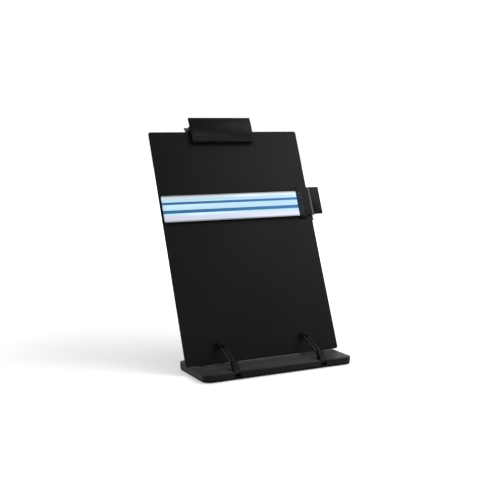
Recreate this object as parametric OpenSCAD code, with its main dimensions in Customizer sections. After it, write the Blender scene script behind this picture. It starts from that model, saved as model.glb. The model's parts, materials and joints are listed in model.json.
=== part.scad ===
// Desk copy holder with a sliding line guide.
// A sheet-steel back panel stands on a flat base, hinged at its foot and propped from
// behind by a wire bail that drops into one of the notches on the base's tail.
// A sprung clip rides on the top edge, a sprung line guide rides on the right edge and
// two sprung wire arms at the front hold the foot of the page.
// Millimetres. X to the right, Y to the rear, Z up. The origin is the middle of the
// object's footprint, on the desk.

/* [Base] */
// Width of the base
base_w = 202; // [190:1:230]
// Distance from the panel hinge forward to the base's front edge
base_front = 49.4; // [46:0.2:58]
// Distance from the panel hinge back to the base's rear edge
base_rear = 33; // [24:0.5:36]
// Radius of the base's corners
base_corner_r = 10; // [3:0.5:12]
// Radius of the cover's top edges
base_edge_r = 2; // [0.6:0.1:2.4]
// Height of the rubber feet below the bottom plate
foot_h = 1; // [0.6:0.1:2]
// Radius of a rubber foot
foot_r = 5.5; // [4:0.5:7]
// Depth of the pocket that holds a foot
foot_pocket = 0.8; // [0.4:0.1:1.2]
// Thickness of the bottom plate
plate_t = 2.4; // [1.8:0.1:3]
// How far the bottom plate's edge stands inside the cover's
plate_inset = 0.5; // [0.2:0.1:1]
// Height of the top cover
cover_h = 6.4; // [5.6:0.1:8]
// Thickness of the cover's top skin
skin_t = 1.8; // [1.4:0.1:2]
// Thickness of the cover's walls
wall_t = 2; // [1.4:0.1:3]

/* [Tail and notches] */
// Width of the tail that runs back under the prop
tail_w = 70; // [64:1:90]
// Radius of the tail's rear corners
tail_corner_r = 9; // [4:0.5:14]
// Radius where the tail meets the base
tail_fillet_r = 8; // [4:0.5:12]
// Length of tail behind the last notch
tail_end_l = 12; // [11:0.5:22]
// Width of the notched rack
rack_w = 44; // [36:1:46]
// Depth of a notch
notch_depth = 1.5; // [0.8:0.1:2]
// Number of notches
notch_count = 7; // [4:1:8]
// Lean between one notch and the next, in degrees
lean_step = 4; // [3.5:0.5:4.5]

/* [Panel] */
// Width of the back panel
panel_w = 212; // [190:1:240]
// Height of the panel's top edge above the hinge, along the slope
panel_h = 294.4; // [260:0.2:330]
// Gap between the sheet's lower edge and the base
panel_foot_gap = 0.5; // [0.4:0.1:1.5]
// Thickness of the sheet
panel_t = 1.2; // [1:0.1:1.6]
// Radius of the panel's corners
panel_corner_r = 3; // [1:0.5:8]
// Lean from the vertical in the first, most upright notch, in degrees
lean = 22; // [20:1:24]

/* [Panel hinge] */
// Distance of each hinge from the middle
hinge_x = 70; // [50:1:75]
// Radius of the hinge pin
hinge_pin_r = 1.5; // [1:0.1:1.8]
// Radial play of the rolled knuckle on its pin
hinge_play = 0.05; // [0.02:0.01:0.09]
// Wall of the rolled knuckle
knuckle_wall = 1.3; // [1.3:0.1:1.8]
// Width of a rolled knuckle
knuckle_w = 20; // [12:1:30]
// Width of a hinge lug
lug_w = 6; // [4:0.5:8]
// Side gap between knuckle and lug
hinge_side_gap = 0.5; // [0.3:0.1:1]
// Gap between the knuckle and the base below it
hinge_lift = 0.9; // [0.6:0.1:1.4]

/* [Prop] */
// Height of the prop's pivot above the hinge, along the slope
prop_pivot_s = 78; // [74:1:90]
// Distance of the prop's pivot behind the panel
prop_pivot_back = 5; // [4.5:0.1:6]
// Radius of the prop wire
prop_wire_r = 2; // [1.5:0.1:2.4]
// Half width of the prop, to the middle of a leg
prop_half_w = 17; // [14:0.5:18]
// Radius of the prop's lower corners, on the wire's middle line
prop_bend_r = 6; // [5:0.5:8]
// Wall of the sleeve on the prop's foot
prop_sleeve_t = 0.5; // [0.4:0.1:1]
// Thickness of the prop bracket's sheet
bracket_t = 1.2; // [0.8:0.1:1.5]

/* [Page clip] */
// Width of the clip
clip_w = 89; // [60:1:110]
// Place of the clip's middle, right of the panel's middle
clip_x = -6; // [-50:0.5:50]
// Length of the clip's front plate below its pin
clip_jaw_l = 19.5; // [16:0.1:26]
// Length of the clip's front plate above its pin
clip_lever_l = 14; // [9:0.1:20]
// Distance from the middle of the panel's sheet to the back of the front plate
clip_reach = 4.7; // [4.4:0.1:6]
// Thickness of the clip's plates
clip_t = 1.8; // [1.4:0.1:2.4]
// How far below the pin the gussets at the ends of the rear lever reach
clip_gusset_l = 12; // [6:0.5:15]

/* [Line guide] */
// Height of the guide's middle above the hinge, along the slope
guide_s = 192.8; // [80:0.2:230]
// Height of the guide's jaws, along the slope
guide_h = 41; // [36:0.5:50]
// How far the guide's front jaw reaches in from its pin
guide_jaw_l = 21.5; // [18:0.5:30]
// How far the guide's finger plate reaches out from its pin
guide_lever_l = 13; // [9:0.5:20]
// Thickness of the guide's jaws
guide_t = 1.8; // [1.4:0.1:2.2]
// Length of the front jaw's tall end, where it grips
guide_block_l = 12; // [10:0.5:14]
// How far that tall end reaches down past the hinge and the finger plate
guide_step = 3.6; // [0:0.2:6]
// Height of the clear strip, along the slope
strip_h = 34; // [24:0.5:34]
// Thickness of the clear strip
strip_t = 1.2; // [0.8:0.1:2]
// Distance from the panel's left edge to the strip's free end
strip_end_gap = 1.5; // [0:0.5:20]
// Wall of the barrel over the guide's pin
barrel_wall = 2; // [1.3:0.1:2.4]
// Length of strip bonded to the front jaw
strip_lap = 7; // [4:0.5:12]
// Height of one blue line
line_h = 3; // [1:0.1:4]
// Distance between the middles of the two blue lines
line_pitch = 10.9; // [6:0.1:14]
// Depth of the inlaid blue lines
line_depth = 0.3; // [0.1:0.05:0.5]

/* [Page arms] */
// Distance of each page arm from the middle
arm_x = 58.5; // [45:0.5:70]
// Distance from the base's front edge back to the arm's pin
arm_setback = 3; // [2.9:0.1:4]
// Depth of the arm's pin below the base's top
arm_pin_drop = 2; // [1.7:0.1:2.4]
// Radius of the arm's hub
arm_hub_r = 2.6; // [2.2:0.1:2.8]
// Radius of the arm's pin
arm_pin_r = 1; // [0.7:0.1:1.1]
// Width of the arm's lever at its hub
arm_w = 8.6; // [8:0.1:12]
// Width of the arm's lever at its top
arm_top_w = 7.6; // [7:0.1:9]
// Length of the arm's lever from its pin
arm_lever_l = 14.5; // [12:0.5:18]
// Rise of the lever above the level, in degrees
arm_lever_rise = 50; // [44:1:56]
// Radius of the arm's wire
arm_wire_r = 1; // [0.7:0.1:1.2]
// Distance between the middles of the wire's two legs
arm_wire_gap = 5; // [4:0.5:5]
// Wall of the rubber tip over the wire
arm_tip_t = 1; // [0.6:0.1:1.4]
// Length of the rubber tip
arm_tip_l = 9; // [7:0.5:12]
// Height at which the tip meets the page, along the slope from the hinge
arm_tip_s = 19.2; // [16:0.2:24]

/* [Fits] */
// Gap left where a page goes, and round soft pieces
page_gap = 0.3; // [0.2:0.05:0.5]
// Radial gap round pins and wires that are pressed in
seat_gap = 0.02; // [0.01:0.01:0.04]
// Radial play of the sprung levers on their pins
pivot_play = 0.05; // [0.02:0.01:0.09]
// Side gap between moving plates
side_gap = 0.4; // [0.3:0.1:0.8]

/* [Hidden] */
$fn = 48;
cut = 1; // how far a cutter runs past what it cuts

plastic = [0.13, 0.13, 0.14];
dark_plastic = [0.09, 0.09, 0.10];
rubber = [0.06, 0.06, 0.06];
enamel = [0.11, 0.11, 0.12];
steel = [0.62, 0.63, 0.65];
dark_wire = [0.20, 0.20, 0.22];
clear_blue = [0.80, 0.93, 1.0];
ink_blue = [0.30, 0.47, 0.66];

// Levels of the base
cover_z = foot_h + plate_t;
base_top = cover_z + cover_h;
cavity_top = base_top - skin_t;

// Panel hinge
knuckle_bore = hinge_pin_r + hinge_play;
knuckle_r = knuckle_bore + knuckle_wall;
lug_relief = 0.3;
lug_r = knuckle_r - lug_relief;
hinge_z = base_top + hinge_lift + knuckle_r;
lug_off = knuckle_w / 2 + hinge_side_gap + lug_w / 2;
hinge_pin_l = knuckle_w + 2 * hinge_side_gap + 2 * lug_w;
sheet_back = -knuckle_r;
sheet_front = sheet_back - panel_t;
sheet_mid = (sheet_front + sheet_back) / 2;
// Length of sheet below the hinge, which leaves the foot gap at the first lean
panel_drop = (hinge_lift + knuckle_r * (1 + sin(lean)) - panel_foot_gap) / cos(lean);

// Prop linkage: the hinge, the prop's pivot and its foot make a triangle with two equal
// sides, so the foot slides back at one height as the panel leans.
prop_pivot_y = sheet_back + prop_pivot_back;
prop_l = norm([prop_pivot_y, prop_pivot_s]);
prop_offset = atan2(prop_pivot_y, prop_pivot_s);
prop_angle = lean + prop_offset;
prop_foot_r = prop_wire_r + prop_sleeve_t;
last = notch_count - 1;
foot_ys = [for (i = [0 : last]) 2 * prop_l * sin(prop_angle + i * lean_step)];
crest_gap = 0.15;
crest_z = hinge_z - prop_foot_r - crest_gap;
crest_l = 1.2; // flat top of a tooth
notch_floor_l = 2.4;
rack_lead_l = 10; // of rack in front of the first notch
rack_end_l = 6; // of rack behind the last notch
rack_front = foot_ys[0] - rack_lead_l;
rack_back = foot_ys[last] + rack_end_l;
tail_end = foot_ys[last] + tail_end_l;

// Prop wire and bracket
prop_stub_l = 9;
prop_elbow_r = 3.5;
ear_gap = 0.5;
ear_x = prop_half_w + prop_wire_r + prop_elbow_r + ear_gap;
ear_r = prop_wire_r + 2;
bracket_h = 24;
bracket_flange = 12;
bracket_corner_r = 3;
bracket_window = [22, 12];

// Sprung clips. Their own frame has the pin on X, the grip below and the finger plate
// above, with the panel's sheet on the plane Y = 0.
ear_t = 2;
clip_ear_r = 2.6;
clip_pin_r = 1;
clip_edge_gap = 1.2;
clip_pin_s = panel_h + clip_edge_gap + clip_ear_r;
clip_bend_z = 2.6;
clip_bend = 6; // degrees that the finger end leans back
clip_leg_z = 6; // of the end of the spring's front leg, above the pin
pad_t = 1.2;
pad_h = 4;
pad_end_gap = 2; // from a jaw's end to its pad's
pad_lip = 0.4; // from a jaw's edge to its pad's
groove_w = 0.7;
groove_depth = 0.3;
groove_pitch = 2.2;
groove_end_gap = 3;
clip_coil_r = 2.05;
clip_coil_wire_r = 0.45;
clip_coil_turns = 9.375;
rear_lever_rise = 38;
rear_lever_l = 11;
rear_bend_z = 0.6;
leg_gap = 0.15; // between a spring's leg and what it bears on
ear_sink = 0.5; // of a clip's ear into its plate
gusset_t = 1.6; // of the gussets at the ends of the clip's rear lever
lip_run = 1; // of the slope above a front lip
rear_lip_run = 1.4;
rear_knee = 1; // of the outer bend below the inner one on a rear lever

// Line guide
guide_ear_r = 2.3;
guide_pin_r = 0.8;
guide_edge_gap = 0.4;
guide_pin_x = panel_w / 2 + guide_edge_gap + guide_ear_r;
guide_in = panel_t / 2 + page_gap + pad_t;
guide_front_y = -(guide_in + guide_t);
barrel_in = guide_ear_r + side_gap;
barrel_out = barrel_in + barrel_wall;
guide_hinge_h = guide_h - guide_step;
guide_hinge_x = -guide_step / 2; // of the hinge's middle, down the slope from the jaws'
guide_lever_bend = 2; // degrees that the finger plate leans out
guide_coil_r = 1.6;
guide_coil_wire_r = 0.35;
guide_coil_turns = 7.375;
barrel_rim_off = 0.4; // of the barrel's rim, behind the jaw plate's back
barrel_rim_y = -guide_in + barrel_rim_off;
strip_left = -panel_w / 2 + strip_end_gap;
strip_right = guide_pin_x - guide_jaw_l + strip_lap;
strip_mid_s = -1.6; // of the strip's middle, from the guide's middle
strip_corner_r = 1.5;
line_mid_s = 1.25; // of the lines' middle, from the strip's middle
line_free_gap = 3.5; // from the strip's free end to the lines
line_root_gap = 0.5; // from the strip's other end to the lines
guide_corner_r = 2;

// Page arms
arm_pin_y = -base_front + arm_setback;
arm_pin_z = base_top - arm_pin_drop;
arm_notch_w = arm_w + 2 * side_gap;
arm_notch_l = 7; // of the notch behind the arm's pin
arm_notch_back = arm_pin_y + arm_notch_l;
arm_cheek_w = 6;
arm_pin_l = arm_notch_w + 2 * arm_cheek_w;
arm_pocket_w = 5.2;
arm_coil_r = 1.65;
arm_coil_wire_r = 0.3;
arm_coil_turns = 3.125;
arm_socket_l = 3; // depth of each leg's socket in the lever
arm_socket_inset = 2.4; // from the lever's end to the sockets' mouths
arm_tip_r = arm_wire_r + arm_tip_t;
arm_tip_n = -sheet_front + page_gap + arm_tip_r;
// The wire's far end, on its middle line, from the arm's pin
arm_end_y = arm_tip_s * sin(lean) - arm_tip_n * cos(lean) - arm_pin_y;
arm_end_z = hinge_z + arm_tip_s * cos(lean) + arm_tip_n * sin(lean) - arm_pin_z;
arm_top_y = (arm_lever_l - arm_socket_inset) * cos(arm_lever_rise);
arm_top_z = (arm_lever_l - arm_socket_inset) * sin(arm_lever_rise);
arm_wire_rise = atan2(arm_end_z - arm_top_z, arm_end_y - arm_top_y);
arm_wire_l = norm([arm_end_y - arm_top_y, arm_end_z - arm_top_z]);

// Screws and feet
screw_r = 1.1;
screw_head_r = 2.3;
screw_head_h = 1;
screw_bite = 3; // length of screw in the cover or the rack
screw_end_gap = 0.2;
screw_l = plate_t + screw_bite;
recess = [2.6, 0.5, 0.6]; // length, width and depth of each stroke of the cross recess
boss_r = 3.4;
screw_inset = 9; // from the edges that are near a screw
front_screw_setback = 18;
tail_screw_inset = 6.5;
foot_edge_gap = 2.5;
front_foot_off = 20; // from the arm beside it
rear_foot_inset = 22;
tail_foot_inset = 16;
base_screw_xy = [
    for (x = [-1, 1], p = [[base_w / 2 - screw_inset, -base_front + front_screw_setback],
                           [base_w / 2 - screw_inset, base_rear - screw_inset],
                           [tail_w / 2 - tail_screw_inset, tail_end - screw_inset]])
        [x * p[0], p[1]]
];
rack_screw_xy = [for (i = [0, last - 1]) [0, (foot_ys[i] + foot_ys[i + 1]) / 2]];
foot_xy = [
    for (x = [-1, 1], p = [[arm_x + front_foot_off, -base_front + foot_r + foot_edge_gap],
                           [base_w / 2 - rear_foot_inset, base_rear - foot_r - foot_edge_gap],
                           [tail_w / 2 - tail_foot_inset, tail_end - foot_r - foot_edge_gap]])
        [x * p[0], p[1]]
];

// Middle of the footprint, from the panel hinge
guide_right = guide_pin_x + guide_lever_l * cos(guide_lever_bend);
frame_x = (guide_right - panel_w / 2) / 2;
frame_y = (tail_end - base_front) / 2;

// ---------- frames ----------

module placed() {
    translate([-frame_x, -frame_y, 0]) children();
}

// On the leaning panel: X across, Y out of its back, Z up the slope from the hinge.
module on_panel() {
    placed() translate([0, 0, hinge_z]) rotate([-lean, 0, 0]) children();
}

module at_clip() {
    on_panel() translate([clip_x, sheet_mid, clip_pin_s]) children();
}

module at_guide() {
    on_panel() translate([guide_pin_x, sheet_mid, guide_s]) rotate([0, 90, 0]) children();
}

module at_arm(side) {
    placed() translate([side * arm_x, arm_pin_y, arm_pin_z]) children();
}

// ---------- shared shapes ----------

module rounded_rect(w, d, r) {
    square([w - 2 * r, d], center = true);
    square([w, d - 2 * r], center = true);
    for (x = [-1, 1], y = [-1, 1]) translate([x * (w / 2 - r), y * (d / 2 - r)]) circle(r);
}

// A rod on X
module rod_x(r, l) {
    rotate([0, 90, 0]) cylinder(r = r, h = l, center = true);
}

// A side view, drawn as [y, z], made w wide across X
module side_view(w) {
    translate([-w / 2, 0, 0]) rotate([90, 0, 90]) linear_extrude(w) children();
}

module box(x, y, z) {
    translate([x[0], y[0], z[0]]) cube([x[1] - x[0], y[1] - y[0], z[1] - z[0]]);
}

// One unbroken round wire through the points of a path that never runs along X
wire_sides = 6;
rings_a_turn = 8;

function unit(v) = v / norm(v);
function path_dir(path, i) =
    unit(path[min(i + 1, len(path) - 1)] - path[max(i - 1, 0)]);
function ring(path, i, r) =
    let (t = path_dir(path, i), s = unit(cross(t, [1, 0, 0])), u = cross(s, t))
    [for (k = [0 : wire_sides - 1])
        path[i] + r * (cos(360 * k / wire_sides) * s + sin(360 * k / wire_sides) * u)];

module wire(path, r) {
    rings = len(path);
    points = [for (i = [0 : rings - 1], p = ring(path, i, r)) p];
    sides = [
        for (i = [0 : rings - 2], k = [0 : wire_sides - 1])
            let (a = i * wire_sides + k, b = i * wire_sides + (k + 1) % wire_sides)
            for (f = [[a, b, b + wire_sides], [a, b + wire_sides, a + wire_sides]]) f
    ];
    first = [for (k = [wire_sides - 1 : -1 : 0]) k];
    end = [for (k = [0 : wire_sides - 1]) (rings - 1) * wire_sides + k];
    polyhedron(points, concat([first], sides, [end]));
}

// Middle line of a coil round X, from angle a0, measured from +Y towards +Z
function coil(r, pitch, turns, a0) = [
    for (i = [0 : turns * rings_a_turn])
        let (a = a0 + 360 * i / rings_a_turn, x = pitch * (i / rings_a_turn - turns / 2))
        [x, r * cos(a), r * sin(a)]
];

function least_gap(path, r) =
    min([for (i = [0 : len(path) - 1 - rings_a_turn]) norm(path[i + rings_a_turn] - path[i])])
    - 2 * r;

// A torsion spring: its legs are points [y, z], before the coil and after it
module coil_spring(r, wire_r, turns, a0, from_leg, to_leg, label) {
    pitch = 2 * wire_r + 0.5;
    turns_path = coil(r, pitch, turns, a0);
    echo(str(label, " least gap between turns, mm: "), least_gap(turns_path, wire_r));
    x0 = turns_path[0][0];
    x1 = turns_path[len(turns_path) - 1][0];
    wire(concat([for (p = from_leg) [x0, p[0], p[1]]], turns_path,
                [for (p = to_leg) [x1, p[0], p[1]]]), wire_r);
}

// ---------- base ----------

module base_outline(inset) {
    translate([0, (base_rear - base_front) / 2])
        rounded_rect(base_w - 2 * inset, base_front + base_rear - 2 * inset, base_corner_r);
    translate([0, tail_end / 2])
        rounded_rect(tail_w - 2 * inset, tail_end - 2 * inset, tail_corner_r);
    for (x = [-1, 1])
        translate([x * (tail_w / 2 - inset), base_rear - inset])
            to_side(x) difference() {
                square(tail_fillet_r);
                translate([tail_fillet_r, tail_fillet_r]) circle(tail_fillet_r);
            }
}

module to_side(x) {
    mirror([x < 0 ? 1 : 0, 0]) children();
}

module cover_blank() {
    depth = tail_end + base_front;
    intersection() {
        translate([0, 0, cover_z]) linear_extrude(cover_h) base_outline(0);
        side_view(base_w + 2 * cut) crowned(-base_front, tail_end, cover_z, base_top);
        translate([0, tail_end + cut, 0]) rotate([90, 0, 0])
            linear_extrude(depth + 2 * cut)
                crowned(-base_w / 2, base_w / 2, cover_z, base_top);
    }
}

// A slab's section with its two upper corners rounded
module crowned(a, b, low, high) {
    r = base_edge_r;
    polygon([[a, low - cut], [b, low - cut], [b, high - r], [a, high - r]]);
    polygon([[a + r, low], [b - r, low], [b - r, high], [a + r, high]]);
    for (x = [a + r, b - r]) translate([x, high - r]) circle(r);
}

module cover_cavity() {
    difference() {
        translate([0, 0, cover_z - cut]) linear_extrude(cavity_top - cover_z + cut)
            base_outline(wall_t);
        for (p = base_screw_xy) translate([p[0], p[1], 0]) cylinder(r = boss_r, h = base_top);
        for (x = [-1, 1]) {
            box([x * arm_x - arm_notch_w / 2 - arm_cheek_w, x * arm_x + arm_notch_w / 2
                 + arm_cheek_w], [-base_front, arm_notch_back + wall_t], [0, base_top]);
            translate([x * hinge_x, 0, 0])
                box([-lug_off - lug_w / 2, lug_off + lug_w / 2], [-lug_r, lug_r], [0, base_top]);
        }
        box([-rack_w / 2 - wall_t, rack_w / 2 + wall_t],
            [rack_front - wall_t, rack_back + wall_t], [0, base_top]);
    }
}

module hinge_lug() {
    root = 0.5; // how far the lug runs down into the cover
    difference() {
        union() {
            translate([0, 0, hinge_z]) rod_x(lug_r, lug_w);
            box([-lug_w / 2, lug_w / 2], [-lug_r, lug_r], [base_top - root, hinge_z]);
        }
        translate([0, 0, hinge_z]) rod_x(hinge_pin_r + seat_gap, lug_w + 2 * cut);
    }
}

module base_cover() {
    slot_off = 4.5; // of the slot, from the back of the arm's notch
    slot_l = 2.5;
    slot_w = 16;
    slot_y = [arm_notch_back + slot_off, arm_notch_back + slot_off + slot_l];
    pocket_y = [-17.5, -10.5];
    pocket_w = 26;
    pocket_depth = 0.7;
    rack_fit = 0.05;
    color(plastic) placed() {
        difference() {
            cover_blank();
            cover_cavity();
            for (x = [-1, 1]) {
                // notch for the arm, and the bore for its pin
                box([x * arm_x - arm_notch_w / 2, x * arm_x + arm_notch_w / 2],
                    [-base_front - cut, arm_notch_back], [0, base_top + cut]);
                translate([x * arm_x, arm_pin_y, arm_pin_z])
                    rod_x(arm_pin_r + seat_gap, arm_pin_l);
                // slot behind the arm, and the shallow pocket under its tip
                box([x * arm_x - slot_w / 2, x * arm_x + slot_w / 2], slot_y,
                    [cavity_top - cut, base_top + cut]);
                box([x * arm_x - pocket_w / 2, x * arm_x + pocket_w / 2], pocket_y,
                    [base_top - pocket_depth, base_top + cut]);
            }
            for (p = base_screw_xy) screw_hole(p);
            box([-rack_w / 2 - rack_fit, rack_w / 2 + rack_fit],
                [rack_front - rack_fit, rack_back + rack_fit], [0, base_top + cut]);
        }
        for (x = [-1, 1], s = [-1, 1])
            translate([x * hinge_x + s * lug_off, 0, 0]) hinge_lug();
    }
}

// Pilot hole up from the underside of the cover or the rack
module screw_hole(p) {
    translate([p[0], p[1], cover_z - cut])
        cylinder(r = screw_r + seat_gap, h = screw_bite + screw_end_gap + cut);
}

module base_plate() {
    screw_play = 0.2;
    color(dark_plastic) placed() difference() {
        translate([0, 0, foot_h]) linear_extrude(plate_t) base_outline(plate_inset);
        for (p = foot_xy) translate([p[0], p[1], foot_h - cut])
            cylinder(r = foot_r + seat_gap, h = foot_pocket + cut);
        for (p = concat(base_screw_xy, rack_screw_xy)) translate([p[0], p[1], foot_h - cut]) {
            cylinder(r = screw_r + screw_play, h = plate_t + 2 * cut);
            cylinder(r = screw_head_r + screw_play, h = screw_head_h + cut);
        }
    }
}

module base_feet() {
    color(rubber) placed() for (p = foot_xy) translate([p[0], p[1], 0])
        cylinder(r = foot_r, h = foot_h + foot_pocket);
}

// Pan-head screw, driven up from below: its head's seat is at Z = 0
module screw() {
    sunk = 0.2;
    difference() {
        translate([0, 0, -screw_head_h + sunk])
            cylinder(r = screw_head_r, h = screw_head_h - sunk);
        for (a = [0, 90]) rotate([0, 0, a])
            box([-recess[0] / 2, recess[0] / 2], [-recess[1] / 2, recess[1] / 2],
                [-screw_head_h, -screw_head_h + recess[2]]);
    }
    cylinder(r = screw_r, h = screw_l - screw_head_h);
}

module base_screws() {
    color(steel) placed() for (p = concat(base_screw_xy, rack_screw_xy))
        translate([p[0], p[1], foot_h + screw_head_h]) screw();
}

module angle_rack() {
    floor_z = crest_z - notch_depth;
    teeth = [
        for (i = [0 : last])
            for (p = [[foot_ys[i] - notch_floor_l / 2, floor_z],
                      [foot_ys[i] + notch_floor_l / 2, floor_z],
                      [foot_ys[i] + prop_foot_r, crest_z],
                      [foot_ys[i] + prop_foot_r + crest_l, crest_z]]) p
    ];
    color(dark_plastic) placed() difference() {
        side_view(rack_w) polygon(concat(
            [[rack_back, crest_z], [rack_back, cover_z], [rack_front, cover_z],
             [rack_front, crest_z], [foot_ys[0] - prop_foot_r, crest_z]], teeth));
        for (p = rack_screw_xy) screw_hole(p);
    }
}

module hinge_pins() {
    color(steel) placed() for (x = [-1, 1]) translate([x * hinge_x, 0, hinge_z])
        rod_x(hinge_pin_r, hinge_pin_l);
}

module arm_pins() {
    color(dark_wire) for (x = [-1, 1]) at_arm(x) rod_x(arm_pin_r, arm_pin_l);
}

module arm_spring(side) {
    foot_inset = 0.5; // of the lower leg's end, from the plate's front edge
    lever_leg_l = 2.4;
    foot = [-arm_setback + plate_inset + foot_inset,
            cover_z - arm_pin_z + arm_coil_wire_r + leg_gap];
    coil_end = arm_coil_r * [1, -1] / sqrt(2);
    along = [cos(arm_lever_rise), sin(arm_lever_rise)];
    color(dark_wire) at_arm(side)
        coil_spring(arm_coil_r, arm_coil_wire_r, arm_coil_turns, 270, [foot],
            [coil_end + lever_leg_l * along], "arm spring");
}

// ---------- panel and prop ----------

module back_panel() {
    root = knuckle_bore + 0.4; // clear of the pin
    weld = 0.1;
    color(enamel) on_panel() difference() {
        union() {
            translate([0, sheet_back, 0]) rotate([90, 0, 0]) linear_extrude(panel_t)
                translate([0, (panel_h - panel_drop) / 2])
                    rounded_rect(panel_w, panel_h + panel_drop, panel_corner_r);
            // knuckles, each joined to the back of the sheet
            for (x = [-1, 1]) translate([x * hinge_x, 0, 0]) {
                rod_x(knuckle_r, knuckle_w);
                box([-knuckle_w / 2, knuckle_w / 2], [sheet_back - weld, -root],
                    [-root / 2, root]);
            }
        }
        for (x = [-1, 1]) translate([x * hinge_x, 0, 0]) rod_x(knuckle_bore, knuckle_w + 2 * cut);
    }
}

module prop_bracket() {
    color(enamel) on_panel() difference() {
        union() {
            translate([0, sheet_back + bracket_t, prop_pivot_s]) rotate([90, 0, 0])
                linear_extrude(bracket_t)
                    rounded_rect(2 * (ear_x + ear_t + bracket_flange), bracket_h,
                        bracket_corner_r);
            for (x = [-1, 1]) translate([x * (ear_x + ear_t / 2), 0, prop_pivot_s])
                side_view(ear_t) {
                    translate([prop_pivot_y, 0]) circle(ear_r);
                    translate([sheet_back, -ear_r])
                        square([prop_pivot_back, 2 * ear_r]);
                }
        }
        translate([0, prop_pivot_y, prop_pivot_s])
            rod_x(prop_wire_r + pivot_play, 2 * (ear_x + ear_t + cut));
        // weight-saving window between the ears
        translate([0, sheet_back + bracket_t + cut, prop_pivot_s]) rotate([90, 0, 0])
            linear_extrude(bracket_t + 2 * cut)
                rounded_rect(bracket_window[0], bracket_window[1], bracket_corner_r);
    }
}

// On the prop: the pivot is the origin and the legs run down along -Z
module on_prop() {
    on_panel() translate([0, prop_pivot_y, prop_pivot_s])
        rotate([lean + prop_angle, 0, 0]) children();
}

// A quarter bend of wire in the XZ plane, from the +X side of its centre to the +Z side
module quarter_bend(bend_r, r) {
    rotate([90, 0, 0]) rotate_extrude(angle = 90) translate([bend_r, 0]) circle(r);
}

module prop_wire() {
    r = prop_wire_r;
    color(steel) on_prop() {
        bar_l = 2 * (prop_half_w - prop_bend_r);
        translate([0, 0, -prop_l]) rod_x(r, bar_l);
        leg_low = -prop_l + prop_bend_r;
        leg_high = -prop_elbow_r;
        for (x = [0, 1]) mirror([x, 0, 0]) {
            translate([prop_half_w, 0, leg_low]) cylinder(r = r, h = leg_high - leg_low);
            translate([prop_half_w - prop_bend_r, 0, -prop_l + prop_bend_r])
                mirror([0, 0, 1]) quarter_bend(prop_bend_r, r);
            translate([prop_half_w + prop_elbow_r, 0, -prop_elbow_r])
                mirror([1, 0, 0]) quarter_bend(prop_elbow_r, r);
            translate([prop_half_w + prop_elbow_r, 0, 0]) rotate([0, 90, 0])
                cylinder(r = r, h = prop_stub_l);
        }
    }
}

module prop_sleeve() {
    sleeve_l = 2 * (prop_half_w - prop_bend_r) - 1;
    color(rubber) on_prop() translate([0, 0, -prop_l]) difference() {
        rod_x(prop_foot_r, sleeve_l);
        rod_x(prop_wire_r + seat_gap, sleeve_l + 2 * cut);
    }
}

// ---------- page clip ----------

module clip_front_lever() {
    y0 = -(clip_reach + clip_t);
    y1 = -clip_reach;
    lip_y = -(panel_t / 2 + page_gap + pad_t);
    lean_back = (clip_lever_l - clip_bend_z) * tan(clip_bend);
    color(plastic) at_clip() difference() {
        union() {
            side_view(clip_w) polygon([
                [y0, -clip_jaw_l], [lip_y, -clip_jaw_l], [lip_y, -clip_jaw_l + pad_h],
                [y1, -clip_jaw_l + pad_h + lip_run], [y1, clip_bend_z],
                [y1 + lean_back, clip_lever_l], [y0 + lean_back, clip_lever_l],
                [y0, clip_bend_z]
            ]);
            for (x = [-1, 1]) translate([x * (clip_w - ear_t) / 2, 0, 0]) side_view(ear_t) {
                circle(clip_ear_r);
                translate([y1 - ear_sink, -clip_ear_r])
                    square([-y1 + ear_sink, 2 * clip_ear_r]);
            }
        }
        rod_x(clip_pin_r + pivot_play, clip_w + 2 * cut);
        // grip lines near the foot of the plate
        for (i = [0 : 2]) translate([0, y0, clip_bend_z - clip_jaw_l + groove_pitch * i])
            box([-clip_w / 2 + groove_end_gap, clip_w / 2 - groove_end_gap],
                [-cut, groove_depth], [0, groove_w]);
    }
}

// Rubber pad on the lip of a jaw that reaches down by jaw_l, its front face at y0
module jaw_pad(w, y0, jaw_l) {
    box([-w / 2 + pad_end_gap, w / 2 - pad_end_gap], [y0, y0 + pad_t],
        [-jaw_l + pad_lip, -jaw_l + pad_h - pad_lip]);
}

module clip_front_pad() {
    y0 = -(panel_t / 2 + page_gap + pad_t);
    color(rubber) at_clip() jaw_pad(clip_w, y0, clip_jaw_l);
}

clip_rear_in = 4.2;
rear_jaw_l = 17;

// Side view of a rear lever: a grip below, and a finger plate leaning out behind
module rear_lever_view(inner, t, jaw_l, lip_y, rise, lever_l) {
    out = [cos(rise), sin(rise)] * lever_l;
    thick = [sin(rise), -cos(rise)] * t;
    polygon([
        [lip_y, -jaw_l], [inner + t, -jaw_l], [inner + t, rear_bend_z - rear_knee],
        [inner, rear_bend_z] + out + thick, [inner, rear_bend_z] + out, [inner, rear_bend_z],
        [inner, -jaw_l + pad_h + rear_lip_run], [lip_y, -jaw_l + pad_h]
    ]);
}

// Where a spring's rear leg lies along the finger plate of a rear lever
function rear_leg(inner, rise, off, l) =
    let (bend = [inner, rear_bend_z] + off * [-sin(rise), cos(rise)])
    [bend, bend + l * [cos(rise), sin(rise)]];

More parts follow.
